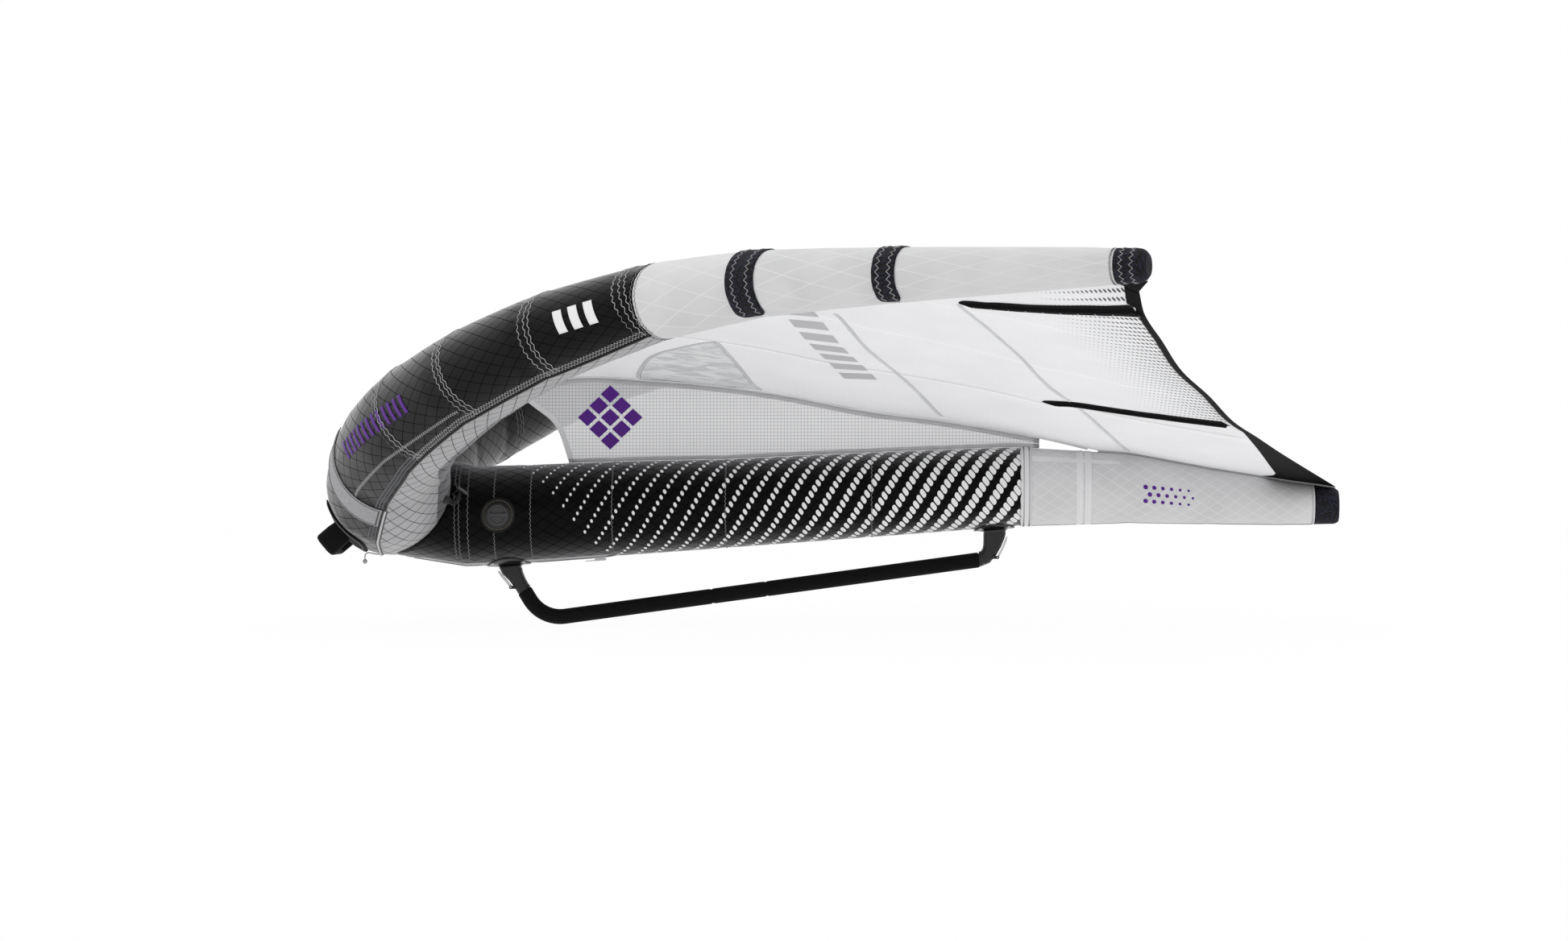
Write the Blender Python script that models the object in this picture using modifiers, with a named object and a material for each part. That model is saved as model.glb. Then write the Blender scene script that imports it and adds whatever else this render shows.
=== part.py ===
"""Wingfoil wing: an inflated leading edge and strut, a stretched canopy and a rigid boom.

+X points aft, +Z up, and the wing spans Y with its plane of symmetry at y = 0. Left is -Y. The origin
lies on the ground below the middle of the wing, and the boom's lowest point touches z = 0. Metres.
"""

import math

import bmesh
import bpy
from mathutils import Matrix, Vector
from mathutils.bvhtree import BVHTree

GAP = 0.0004  # least gap between neighbours
TUBE_SIDES = 20  # faces round an inflated tube
STEP_ANGLE = 360 / TUBE_SIDES
BLADDER_SIDES = 10
CASING_WALL = 0.0010  # woven casings, as thick as modelled
FILM_WALL = 0.0006  # inner bladders
SHEET_WALL = 0.0008  # canopy cloth
TRIM_WALL = 0.0012  # tapes and bands sewn on top

# Leading edge, one row a seam from the nose to the tip: distance along the tube, x, y, z, radius.
LEADING_EDGE = (
    (0.0000, -0.844, 0.000, 0.2540, 0.1215),
    (0.1100, -0.838, 0.106, 0.2730, 0.1181),
    (0.2860, -0.806, 0.273, 0.3350, 0.1081),
    (0.4620, -0.749, 0.433, 0.3860, 0.1009),
    (0.7360, -0.619, 0.658, 0.4610, 0.0895),
    (0.9890, -0.465, 0.851, 0.5260, 0.0786),
    (1.2750, -0.268, 1.053, 0.5790, 0.0662),
    (1.5170, -0.087, 1.206, 0.6030, 0.0559),
    (1.7800, 0.130, 1.354, 0.6100, 0.0455),
    (2.1650, 0.476, 1.519, 0.6160, 0.0301),
    (2.2275, 0.535, 1.540, 0.6165, 0.0265),
)
COLOUR_BREAK = 1.275  # where the black centre casing ends
TIP_SEAM = 2.177
TUBE_END = 2.2275
INNER_BAND = (1.477, 1.534)
OUTER_BAND = (1.762, 1.803)
WEAR_BAND_ANGLES = (54, 252)
NOSE_BAND = (0.185, 0.256)
NOSE_BAND_ANGLES = (144, 252)
NOSE_BAND_LIFT = 0.0012  # clears the facets of the casing under it

# Strut, one row a seam from the nose to the tail: x, height of the centre, radius.
STRUT = (
    (-0.865, 0.2365, 0.0980),
    (-0.700, 0.2120, 0.0995),
    (-0.677, 0.2090, 0.0958),
    (-0.572, 0.2135, 0.0940),
    (-0.416, 0.2225, 0.0914),
    (-0.199, 0.2325, 0.0856),
    (0.081, 0.2495, 0.0817),
    (0.361, 0.2655, 0.0762),
    (0.579, 0.2620, 0.0665),
    (0.735, 0.2465, 0.0530),
    (0.890, 0.2335, 0.0416),
    (0.981, 0.2280, 0.0340),
)
STRUT_FRONT_SEAM = -0.700
STRUT_COLOUR_BREAK = 0.374
TAIL_SEAM = 0.934
TAIL_END = 0.981
STRUT_TO_NOSE_GAP = 0.0032

# Canopy: the line over the strut as x, z up to where the cloth lies on the strut, then the edge.
MIDLINE = (
    (-0.685, 0.396),
    (-0.585, 0.455),
    (-0.485, 0.478),
    (-0.342, 0.472),
    (-0.230, 0.463),
    (-0.099, 0.446),
    (0.075, 0.413),
    (0.222, 0.394),
    (0.405, 0.362),
    (0.519, 0.3355),
)
CLOTH_ON_STRUT = 0.0022  # height of the cloth over the top of the strut behind MIDLINE
TRAILING_EDGE = (  # y, x, z
    (0.000, 0.976, 0.2665),
    (0.300, 0.849, 0.327),
    (0.460, 0.792, 0.355),
    (0.650, 0.732, 0.383),
    (0.860, 0.676, 0.423),
    (1.060, 0.616, 0.462),
    (1.280, 0.569, 0.507),
    (1.420, 0.534, 0.544),
    (1.490, 0.522, 0.577),
)
SPAN_ON_TUBE = 2.165  # length of tube that the canopy is sewn to, on each side
SEAM_ANGLES = (  # where it is sewn: distance along the tube, and angle up from straight aft
    (0.0, 36.0),
    (0.450, 36.0),
    (0.989, 15.0),
    (1.275, -10.0),
    (1.600, -38.0),
    (2.165, -55.0),
)
SEAM_STAND_OFF = 0.0014
HALF_CANOPY_GAP = 0.0006
TAPE_WIDTH = 0.012
CAMBER_POWER = 1.6  # how fast the camber falls as the chord shortens towards the tip
SPAN_STEPS = 14
CHORD_STEPS = 14
WINDOW_FRONT = ((-0.365, 0.0), 1.319)  # plan point on the middle line, distance along the tube
WINDOW_REAR = ((-0.126, 0.0), 1.451)
TAIL_PATCH = ((0.835, 0.0), (0.733, 0.560))  # plan line in front of the black tail corner
BATTEN_WIDTH = 0.012
BATTEN_DEPTH = 0.003
BATTEN_GAP = 0.0025
BATTENS = {  # plan points of the front and rear ends
    "upper": ((0.239, 1.261), (0.517, 1.426)),
    "lower": ((0.400, 0.452), (0.708, 0.604)),
}

# Profile panel between strut and canopy.
PANEL_FRONT = ((-0.600, 0.445), (-0.567, 0.420), (-0.538, 0.3975), (-0.522, 0.3743), (-0.510, 0.3416))
PANEL_FOOT_X = -0.500
PANEL_REAR_X = 0.407
PANEL_WALL = 0.0010

# Boom.
GRIP_RADIUS = 0.01475
GRIP_SIDES = 10
BOOM_TUBE_RADIUS = 0.0125
BOOM_TUBE_WALL = 0.0018
BORE_PLAY = 0.0006
BEND_RADIUS = 0.068
LOWEST_X = -0.518
FRONT_LEG_ANGLE = 58.5  # below the horizontal, at the front
RUN_ANGLE = 7.8  # above the horizontal, towards the tail
FRONT_LEG = 0.0226  # from the bend to the mouth of the front socket
RUN = 0.8085  # from the bend to the mouth of the rear socket
FRONT_INSERT = 0.016  # tube inside each socket
REAR_INSERT = 0.007
GRIP_END_GAP = 0.0012

# Sockets: front x, z and rear x, z of each section, half width in y, and squareness.
FRONT_SOCKET = (
    (-0.6360, 0.1088, -0.5920, 0.1088, 0.0165, 4.0),
    (-0.6290, 0.0960, -0.5900, 0.1000, 0.0165, 4.0),
    (-0.6160, 0.0830, -0.5850, 0.0880, 0.0160, 3.0),
    (-0.6060, 0.0700, -0.5790, 0.0775, 0.0152, 2.4),
    (-0.5996, 0.0585, -0.5752, 0.0735, 0.0146, 2.0),
)
REAR_SOCKET = (
    (0.2994, 0.1763, 0.3432, 0.1763, 0.0165, 4.0),
    (0.2994, 0.1610, 0.3395, 0.1640, 0.0165, 4.0),
    (0.2990, 0.1520, 0.3335, 0.1495, 0.0160, 3.4),
    (0.2976, 0.1458, 0.3250, 0.1345, 0.0156, 2.8),
    (0.2950, 0.1415, 0.3120, 0.1185, 0.0150, 2.3),
    (0.2902, 0.1397, 0.2940, 0.1107, 0.0146, 2.0),
)
SOCKET_SIDES = 20
FRONT_SADDLE_X = -0.6164
REAR_SADDLE_X = 0.3204
TONGUE = (0.024, 0.014, 0.0160)
TONGUE_PLAY = 0.0004
FRONT_TONGUE_X = -0.610
REAR_TONGUE_X = 0.321

# Release latches: outlines as x, z along the outer face of each socket, and the pin.
FRONT_LATCH_LINE = ((-0.6362, 0.1030), (-0.6290, 0.0945), (-0.6200, 0.0840), (-0.6125, 0.0750))
REAR_LATCH_LINE = ((0.3433, 0.1700), (0.3402, 0.1625), (0.3342, 0.1480), (0.3268, 0.1335))
FRONT_PIN = (-0.6128, 0.0706)
REAR_PIN = (0.3268, 0.1290)
LATCH_HALF_WIDTH = 0.0080
LATCH_DEPTH = 0.0038
LATCH_CLEARANCE = 0.0007
KNUCKLE_RADIUS = 0.0032
PIN_RADIUS = 0.0013
PIN_HALF_LENGTH = 0.0125
EAR_HALF_GAP = 0.0086
EAR_LENGTH = 0.0160  # from the pin into the socket

# Valve on the left of the strut.
VALVE_X = -0.630
VALVE_FLANGE_RADIUS = 0.026
VALVE_COLLAR_RADIUS = 0.0212
VALVE_BORE_RADIUS = 0.0164
VALVE_PLUG_RADIUS = 0.0158
VALVE_CAP_RADIUS = 0.0208

# Nose handle.
HANDLE_ANGLE = 220
HANDLE_PLATE_ANGLES = (190, 247)
HANDLE_PLATE_REACH = 0.085
HANDLE_PLATE_WALL = 0.003
GRIP_BLOCK_WIDTH = 0.048
GRIP_OUTER = 0.1622  # from the tube's centre
GRIP_INNER = 0.1496
GRIP_ROUNDING = 0.0055

# Transfer hose in the corner between leading edge and strut, on the left.
HOSE_RADIUS = 0.005
HOSE_ON_TUBE = (-0.165, -27)
HOSE_ON_STRUT = (-0.712, 63)
FITTING_STAND_OFF = 0.0002
FITTING_LENGTH = 0.011
HOSE_GAP = 0.0014
FITTING_RADIUS = 0.0085

# Elastic pigtail under the nose: along the casing, then hanging free.
PIGTAIL_RADIUS = 0.00125
PIGTAIL_ROUTE = (
    (-0.8660, -0.030, 0.1345), (-0.8740, -0.030, 0.1358), (-0.8820, -0.030, 0.1375),
    (-0.8885, -0.030, 0.1375), (-0.8920, -0.030, 0.1342), (-0.8928, -0.030, 0.1300), (-0.8928, -0.030, 0.1262),
)
BEAD_RADIUS = 0.0047

# Zip on the underside of the strut.
ZIP_START = -0.440
ZIP_SLOPE = math.atan2(0.0116, 0.156)

BLACK = ((0.012, 0.012, 0.014), 0.55, 0.0)
LIGHT_CLOTH = ((0.62, 0.62, 0.63), 0.6, 0.0)
WHITE_CLOTH = ((0.78, 0.78, 0.79), 0.6, 0.0)
CLEAR_FILM = ((0.85, 0.86, 0.88), 0.15, 0.0)
BAND_WEAVE = ((0.03, 0.03, 0.035), 0.8, 0.0)
WEBBING = ((0.32, 0.32, 0.33), 0.8, 0.0)
BLADDER_FILM = ((0.55, 0.56, 0.6), 0.3, 0.0)
MOULDED = ((0.03, 0.03, 0.032), 0.4, 0.0)
LATCH_GREY = ((0.55, 0.55, 0.56), 0.45, 0.0)
CARBON = ((0.02, 0.02, 0.022), 0.35, 0.0)
FOAM = ((0.015, 0.015, 0.015), 0.9, 0.0)
STEEL = ((0.6, 0.6, 0.6), 0.3, 1.0)


def clear_scene():
    """Removes the objects that a new scene holds."""
    for item in list(bpy.data.objects):
        bpy.data.objects.remove(item, do_unlink=True)


def new_collection(name):
    """A collection linked to the scene."""
    made = bpy.data.collections.new(name)
    bpy.context.scene.collection.children.link(made)
    return made


clear_scene()
PARTS = new_collection("wingfoil_wing")
CUTTERS = new_collection("cutters")


def material(name, look):
    """A Principled material with the colour, roughness and metallic value of look."""
    found = bpy.data.materials.get(name)
    if found:
        return found
    colour, roughness, metallic = look
    made = bpy.data.materials.new(name)
    made.use_nodes = True
    shader = made.node_tree.nodes["Principled BSDF"]
    shader.inputs["Base Color"].default_value = (*colour, 1)
    shader.inputs["Roughness"].default_value = roughness
    shader.inputs["Metallic"].default_value = metallic
    made.diffuse_color = (*colour, 1)
    return made


def place(name, data, look=None, joint=None):
    """A part with its own material, or a cutter where there is no look."""
    made = bpy.data.objects.new(name, data)
    if look is None:
        CUTTERS.objects.link(made)
        made.hide_render = True
        made.display_type = "WIRE"
        return made
    PARTS.objects.link(made)
    data.materials.append(material(name + "_finish", look))
    if joint is not None:
        made.parent = joint
        made.location = -joint.location
    return made


def joint_axis(name, point):
    """An empty on a joint's axis. What moves about it is its child."""
    made = bpy.data.objects.new(name, None)
    PARTS.objects.link(made)
    made.location = point
    made.empty_display_size = 0.02
    return made


def finish_mesh(work, name, smooth_angle=35):
    """Turns a bmesh into a mesh, with round stretches shaded smooth."""
    mesh = bpy.data.meshes.new(name)
    work.to_mesh(mesh)
    work.free()
    mesh.shade_smooth()
    mesh.set_sharp_from_angle(angle=math.radians(smooth_angle))
    return mesh


def lofted(name, rings, closed=True, cap_start=False, cap_end=False, up=None):
    """A skin through rings of points. It faces away from the first ring's middle, or towards up."""
    work = bmesh.new()
    rows = [[work.verts.new(point) for point in ring] for ring in rings]
    count = len(rows[0])
    for row, following in zip(rows, rows[1:]):
        for i in range(count if closed else count - 1):
            j = (i + 1) % count
            work.faces.new((row[i], row[j], following[j], following[i]))
    if cap_start:
        work.faces.new(rows[0])
    if cap_end:
        work.faces.new(rows[-1])
    bmesh.ops.recalc_face_normals(work, faces=work.faces)
    work.faces.ensure_lookup_table()
    face = work.faces[0]
    if up is None:
        middle = sum((Vector(point) for point in rings[0]), Vector()) / count
        outward = face.calc_center_median() - middle
    else:
        outward = Vector(up)
    if face.normal.dot(outward) < 0:
        bmesh.ops.reverse_faces(work, faces=work.faces)
    return finish_mesh(work, name)


def thicken(item, wall, inward=True):
    """Gives a skin its wall, on its inner side or on its outer side."""
    modifier = item.modifiers.new("wall", "SOLIDIFY")
    modifier.thickness = wall
    modifier.offset = -1 if inward else 1
    modifier.use_even_offset = True
    return item


def box_mesh(name, size, centre, turn=None, bevel=0.0):
    """A box about centre, turned by a matrix, with edges rounded by bevel."""
    work = bmesh.new()
    bmesh.ops.create_cube(work, size=1)
    bmesh.ops.scale(work, vec=size, verts=work.verts)
    if bevel:
        bmesh.ops.bevel(
            work, geom=work.edges[:], offset=bevel, segments=2, profile=0.5, affect="EDGES"
        )
    if turn is not None:
        bmesh.ops.transform(work, matrix=turn.to_4x4(), verts=work.verts)
    bmesh.ops.translate(work, vec=centre, verts=work.verts)
    return finish_mesh(work, name)


def split_faces(mesh):
    """Splits a mesh into triangles, so that no bent face is cut."""
    work = bmesh.new()
    work.from_mesh(mesh)
    bmesh.ops.triangulate(work, faces=work.faces)
    work.to_mesh(mesh)
    work.free()


def rod_mesh(name, start, end, radius, sides=16, end_radius=None):
    """A round rod between two points."""
    start, end = Vector(start), Vector(end)
    work = bmesh.new()
    bmesh.ops.create_cone(
        work, cap_ends=True, segments=sides, radius1=radius,
        radius2=radius if end_radius is None else end_radius, depth=(end - start).length,
    )
    turn = (end - start).to_track_quat("Z", "Y").to_matrix().to_4x4()
    bmesh.ops.transform(work, matrix=Matrix.Translation((start + end) / 2) @ turn, verts=work.verts)
    return finish_mesh(work, name)


def combine(item, other, operation):
    """Cuts other from item, or joins it on. other is kept in the collection of cutters."""
    modifier = item.modifiers.new(operation.lower() + "_" + other.name, "BOOLEAN")
    modifier.operation = operation
    modifier.solver = "EXACT"
    modifier.object = other


def cut(item, mesh):
    """Cuts a mesh's shape from item."""
    combine(item, place(mesh.name, mesh), "DIFFERENCE")


def join(item, mesh):
    """Joins a mesh's shape onto item."""
    combine(item, place(mesh.name, mesh), "UNION")


def straight_between(rows, value):
    """The row of numbers at value, between the rows of a table whose first column rises."""
    for low, high in zip(rows, rows[1:]):
        if value <= high[0] or high is rows[-1]:
            share = (value - low[0]) / (high[0] - low[0])
            return tuple(a + (b - a) * share for a, b in zip(low, high))
    return rows[-1]


def smooth_between(rows, value):
    """As straight_between, on a smooth curve through the rows."""
    last = len(rows) - 1
    i = next((k for k in range(last) if value <= rows[k + 1][0]), last - 1)
    low, high = rows[i], rows[i + 1]
    before, after = rows[max(i - 1, 0)], rows[min(i + 2, last)]
    width = high[0] - low[0]
    u = (value - low[0]) / width
    found = []
    for k in range(len(low)):
        slope_low = (high[k] - before[k]) / (high[0] - before[0]) * width
        slope_high = (after[k] - low[k]) / (after[0] - low[0]) * width
        found.append(
            (2 * u**3 - 3 * u**2 + 1) * low[k]
            + (u**3 - 2 * u**2 + u) * slope_low
            + (3 * u**2 - 2 * u**3) * high[k]
            + (u**3 - u**2) * slope_high
        )
    return tuple(found)


def leading_edge_frames():
    """At each seam of the right half: distance, centre, the directions aft and up, and the radius."""
    centres = [Vector(row[1:4]) for row in LEADING_EDGE]
    frames = []
    for i, row in enumerate(LEADING_EDGE):
        along = Vector()
        if i == 0:
            along = Vector((0, 1, 0))
        else:
            along += (centres[i] - centres[i - 1]).normalized()
        if 0 < i < len(centres) - 1:
            along += (centres[i + 1] - centres[i]).normalized()
        along.normalize()
        aft = Vector((along.y, -along.x, 0)).normalized()
        frames.append((row[0], centres[i], aft, aft.cross(along), row[4]))
    return frames


FRAMES = leading_edge_frames()


def on_leading_edge(distance, angle, stand_off=0.0):
    """A point on the tube: angle is 0 straight aft, 90 on top and 180 in front. Left is negative."""
    turn = math.radians(angle)
    far = abs(distance)
    i = next((k for k in range(len(FRAMES) - 2) if far <= FRAMES[k + 1][0]), len(FRAMES) - 2)
    ends = []
    for _, centre, aft, up, radius in FRAMES[i : i + 2]:
        ends.append(centre + (radius + stand_off) * (math.cos(turn) * aft + math.sin(turn) * up))
    share = (far - FRAMES[i][0]) / (FRAMES[i + 1][0] - FRAMES[i][0])
    point = ends[0].lerp(ends[1], share)
    if distance < 0:
        point.y = -point.y
    return point


def seams_between(start, end):
    """The distances start and end, with every seam of the tube between them."""
    both = sorted({row[0] for row in LEADING_EDGE} | {-row[0] for row in LEADING_EDGE})
    return [start] + [value for value in both if start < value < end] + [end]


def leading_edge_ring(distance, stand_off=0.0, sides=TUBE_SIDES):
    """One ring of the tube."""
    return [on_leading_edge(distance, 360 * i / sides, stand_off) for i in range(sides)]


def on_strut(x, angle, stand_off=0.0):
    """A point on the strut: angle is 0 on top, 90 on the left and 180 below."""
    _, height, radius = straight_between(STRUT, x)
    turn = math.radians(angle)
    return Vector(
        (x, -(radius + stand_off) * math.sin(turn), height + (radius + stand_off) * math.cos(turn))
    )


def strut_rings(start, end, stand_off=0.0, sides=TUBE_SIDES):
    """Rings of the strut from start to end, with every seam between."""
    stations = [start] + [row[0] for row in STRUT if start < row[0] < end] + [end]
    return [[on_strut(x, 360 * i / sides, stand_off) for i in range(sides)] for x in stations]


def build_leading_edge():
    """The casings, caps, bands and bladder of the leading edge."""
    rings = [leading_edge_ring(d) for d in seams_between(-COLOUR_BREAK, COLOUR_BREAK)]
    mesh = lofted("leading_edge_casing_centre", rings)
    nose = BVHTree.FromPolygons(
        [vertex.co for vertex in mesh.vertices], [face.vertices for face in mesh.polygons]
    )
    thicken(place("leading_edge_casing_centre", mesh, BLACK), CASING_WALL)
    for side, name in ((-1, "left"), (1, "right")):
        build_outer_tube(side, name)
    rings = [
        leading_edge_ring(d, -CASING_WALL - 2 * GAP, BLADDER_SIDES)
        for d in seams_between(-TIP_SEAM + 0.010, TIP_SEAM - 0.010)
    ]
    mesh = lofted("leading_edge_bladder", rings, cap_start=True, cap_end=True)
    bladder = thicken(place("leading_edge_bladder", mesh, BLADDER_FILM), FILM_WALL)
    foot, outward = hose_ends()[0]
    deep = foot - outward * 0.030
    cut(bladder, rod_mesh("leading_edge_port", deep, foot, HOSE_RADIUS, 12))
    return nose


def strip_on_tube(name, distances, angles, stand_off):
    """A band of cloth on the leading edge, between two distances and two angles."""
    steps = round((angles[1] - angles[0]) / STEP_ANGLE)
    rows = [
        [on_leading_edge(d, angles[0] + i * STEP_ANGLE, stand_off) for i in range(steps + 1)]
        for d in distances
    ]
    outward = on_leading_edge(distances[0], angles[0] + STEP_ANGLE / 2, 0.01) - on_leading_edge(
        distances[0], angles[0] + STEP_ANGLE / 2
    )
    return lofted(name, rows, closed=False, up=outward)


def build_outer_tube(side, name):
    """The light casing, tip cap and bands of one side."""
    span = sorted((side * (COLOUR_BREAK + GAP), side * TIP_SEAM))
    rings = [leading_edge_ring(d) for d in seams_between(*span)]
    mesh = lofted("leading_edge_casing_" + name, rings)
    thicken(place("leading_edge_casing_" + name, mesh, LIGHT_CLOTH), CASING_WALL)
    cap = ((TIP_SEAM + GAP, 0.0), (TUBE_END - 0.010, 0.0), (TUBE_END - 0.003, -0.0025), (TUBE_END, -0.008))
    rings = [leading_edge_ring(side * d, shrink) for d, shrink in cap]
    mesh = lofted("tip_cap_" + name, rings, cap_end=True)
    thicken(place("tip_cap_" + name, mesh, BLACK), CASING_WALL)
    for band, reach in (("inner", INNER_BAND), ("outer", OUTER_BAND)):
        title = f"wear_band_{band}_{name}"
        distances = [side * d for d in reach]
        if band == "inner":
            distances.insert(1, side * 1.517)
        else:
            distances.insert(1, side * 1.780)
        mesh = strip_on_tube(title, distances, WEAR_BAND_ANGLES, GAP)
        thicken(place(title, mesh, BAND_WEAVE), TRIM_WALL, inward=False)
    title = "nose_band_" + name
    mesh = strip_on_tube(title, [side * d for d in NOSE_BAND], NOSE_BAND_ANGLES, NOSE_BAND_LIFT)
    thicken(place(title, mesh, WEBBING), TRIM_WALL, inward=False)


def build_nose_handle():
    """The backing plate and the arched grip on the nose."""
    low, high = HANDLE_PLATE_ANGLES
    steps = 4
    rows = [
        [on_leading_edge(d, low + (high - low) * i / steps, 0.0018) for i in range(steps + 1)]
        for d in (-HANDLE_PLATE_REACH, 0.0, HANDLE_PLATE_REACH)
    ]
    turn = math.radians(HANDLE_ANGLE)
    outward = Vector((math.cos(turn), 0, math.sin(turn)))
    mesh = lofted("nose_handle_plate", rows, closed=False, up=outward)
    thicken(place("nose_handle_plate", mesh, FOAM), HANDLE_PLATE_WALL, inward=False)
    half = ((0.078, 0.1130), (0.076, 0.1570), (0.068, GRIP_OUTER), (0.0, GRIP_OUTER))
    inner = ((0.0, GRIP_INNER), (0.042, GRIP_INNER), (0.048, 0.1470), (0.050, 0.1182))
    outline = [(y, r) for y, r in half] + [(-y, r) for y, r in reversed(half[:-1])]
    outline += [(-y, r) for y, r in reversed(inner)] + [(y, r) for y, r in inner[1:]]
    curve = flat_outline("nose_handle_grip", [outline], GRIP_BLOCK_WIDTH / 2 - GRIP_ROUNDING)
    curve.bevel_depth = GRIP_ROUNDING
    curve.bevel_resolution = 1
    curve.offset = -GRIP_ROUNDING
    grip = place("nose_handle_grip", curve, FOAM)
    across = Vector((0, 1, 0))
    grip.matrix_world = Matrix.Translation(Vector(LEADING_EDGE[0][1:4])) @ Matrix(
        (across, outward, across.cross(outward))
    ).transposed().to_4x4()


def flat_outline(name, outlines, half_depth):
    """A filled outline in its own XY plane, extruded both ways. Further outlines are holes."""
    curve = bpy.data.curves.new(name, "CURVE")
    curve.dimensions = "2D"
    curve.fill_mode = "BOTH"
    curve.extrude = half_depth
    for outline in outlines:
        spline = curve.splines.new("POLY")
        spline.points.add(len(outline) - 1)
        for point, (u, v) in zip(spline.points, outline):
            point.co = (u, v, 0, 1)
        spline.use_cyclic_u = True
    return curve


def upright(item):
    """Stands a flat outline up, so that its x and y become X and Z."""
    item.matrix_world = Matrix.Rotation(math.radians(90), 4, "X")
    return item


def solid_outline(name, outline, half_depth):
    """The mesh of an outline in x and z, extruded both ways along y."""
    holder = place(name + "_outline", flat_outline(name + "_outline", [outline], half_depth))
    evaluated = holder.evaluated_get(bpy.context.evaluated_depsgraph_get())
    mesh = bpy.data.meshes.new_from_object(evaluated)
    bpy.data.objects.remove(holder, do_unlink=True)
    work = bmesh.new()
    work.from_mesh(mesh)
    bmesh.ops.remove_doubles(work, verts=work.verts, dist=0.000001)
    bmesh.ops.transform(work, matrix=Matrix.Rotation(math.radians(90), 4, "X"), verts=work.verts)
    bmesh.ops.recalc_face_normals(work, faces=work.faces)
    return finish_mesh(work, name)


def round_tube(name, points, radius, capped, sides=8):
    """A tube along points."""
    curve = bpy.data.curves.new(name, "CURVE")
    curve.dimensions = "3D"
    curve.bevel_depth = radius
    curve.bevel_resolution = sides // 2 - 2
    curve.use_fill_caps = capped
    curve.twist_mode = "Z_UP"
    spline = curve.splines.new("POLY")
    spline.points.add(len(points) - 1)
    for point, place_at in zip(spline.points, points):
        point.co = (*place_at, 1)
    return curve


def smooth_route(points, steps):
    """Points on a smooth curve through the given ones."""
    rows = []
    travelled = 0.0
    for i, point in enumerate(points):
        if i:
            travelled += (Vector(point) - Vector(points[i - 1])).length
        rows.append((travelled, *point))
    return [
        Vector(smooth_between(rows, travelled * i / steps)[1:]) for i in range(steps + 1)
    ]


def build_pigtail():
    """The elastic cord with its bead."""
    route = smooth_route(PIGTAIL_ROUTE, 8)
    place("pigtail_cord", round_tube("pigtail_cord", route, PIGTAIL_RADIUS, True), LIGHT_CLOTH)
    work = bmesh.new()
    bmesh.ops.create_uvsphere(work, u_segments=12, v_segments=8, radius=BEAD_RADIUS)
    end = Vector(PIGTAIL_ROUTE[-1])
    bmesh.ops.translate(work, vec=end - Vector((0, 0, BEAD_RADIUS + GAP)), verts=work.verts)
    place("pigtail_bead", finish_mesh(work, "pigtail_bead"), LIGHT_CLOTH)


def middle_height(x):
    """Height of the cloth over the strut at x."""
    if x <= MIDLINE[-1][0]:
        start = (SEAM_START.x, SEAM_START.z)
        return smooth_between((start,) + MIDLINE, x)[1]
    _, height, radius = straight_between(STRUT, min(x, TAIL_END))
    return height + radius + CLOTH_ON_STRUT


def on_seam(distance):
    """A point of the line where the cloth is sewn to the leading edge."""
    return on_leading_edge(distance, straight_between(SEAM_ANGLES, distance)[1], SEAM_STAND_OFF)


SEAM_START = on_seam(0.0)


def on_canopy(span, chord, side=1):
    """A point of the cloth: span runs from 0 at the strut to 1 at the tip, chord from front to rear."""
    front = on_seam(span * SPAN_ON_TUBE)
    tube_y = straight_between(LEADING_EDGE, span * SPAN_ON_TUBE)[2]
    edge_y = tube_y * TRAILING_EDGE[-1][0] / LEADING_EDGE[-2][2]
    y, x, z = smooth_between(TRAILING_EDGE, edge_y)
    rear = Vector((x, y, z))
    centre_rear = Vector((TRAILING_EDGE[0][1], 0, TRAILING_EDGE[0][2]))
    centre_line = SEAM_START.lerp(centre_rear, chord)
    rise = middle_height(centre_line.x) - centre_line.z
    shrink = ((rear.x - front.x) / (centre_rear.x - SEAM_START.x)) ** CAMBER_POWER
    point = front.lerp(rear, chord)
    point.z += rise * shrink
    point.y = side * (point.y + HALF_CANOPY_GAP * (1 - span))
    return point


def tape_share(span):
    """The share of the chord that the trailing edge tape takes up."""
    return TAPE_WIDTH / (on_canopy(span, 1.0) - on_canopy(span, 0.0)).length


def cloth_rows(first, last, chord_steps, side):
    """Rows of points from the strut to the tip. first and last give the chord share at each span."""
    rows = []
    for i in range(SPAN_STEPS + 1):
        span = i / SPAN_STEPS
        start, end = first(span), last(span)
        rows.append(
            [
                on_canopy(span, start + (end - start) * j / chord_steps, side)
                for j in range(chord_steps + 1)
            ]
        )
    return rows


def keep_behind(mesh_source, name, plan_front, plan_rear, side):
    """A copy of the cloth between two upright planes, each through two plan points or absent."""
    work = bmesh.new()
    work.from_mesh(mesh_source)
    for line, keep_aft in ((plan_front, True), (plan_rear, False)):
        if line is None:
            continue
        (x_a, y_a), (x_b, y_b) = line
        aft = Vector((abs(y_b - y_a), side * (x_a - x_b), 0)).normalized()
        aft.y *= 1 if y_b > y_a else -1
        shift = aft * (GAP if keep_aft else -GAP)
        bmesh.ops.bisect_plane(
            work,
            geom=work.verts[:] + work.edges[:] + work.faces[:],
            plane_co=Vector((x_a, side * y_a, 0)) + shift,
            plane_no=aft,
            clear_inner=keep_aft,
            clear_outer=not keep_aft,
        )
    return finish_mesh(work, name)


def plan_line(centre_point, distance):
    """Plan points of a seam from the middle line to the leading edge, run on past both."""
    end = on_seam(distance)
    return (centre_point, (end.x, end.y))


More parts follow.
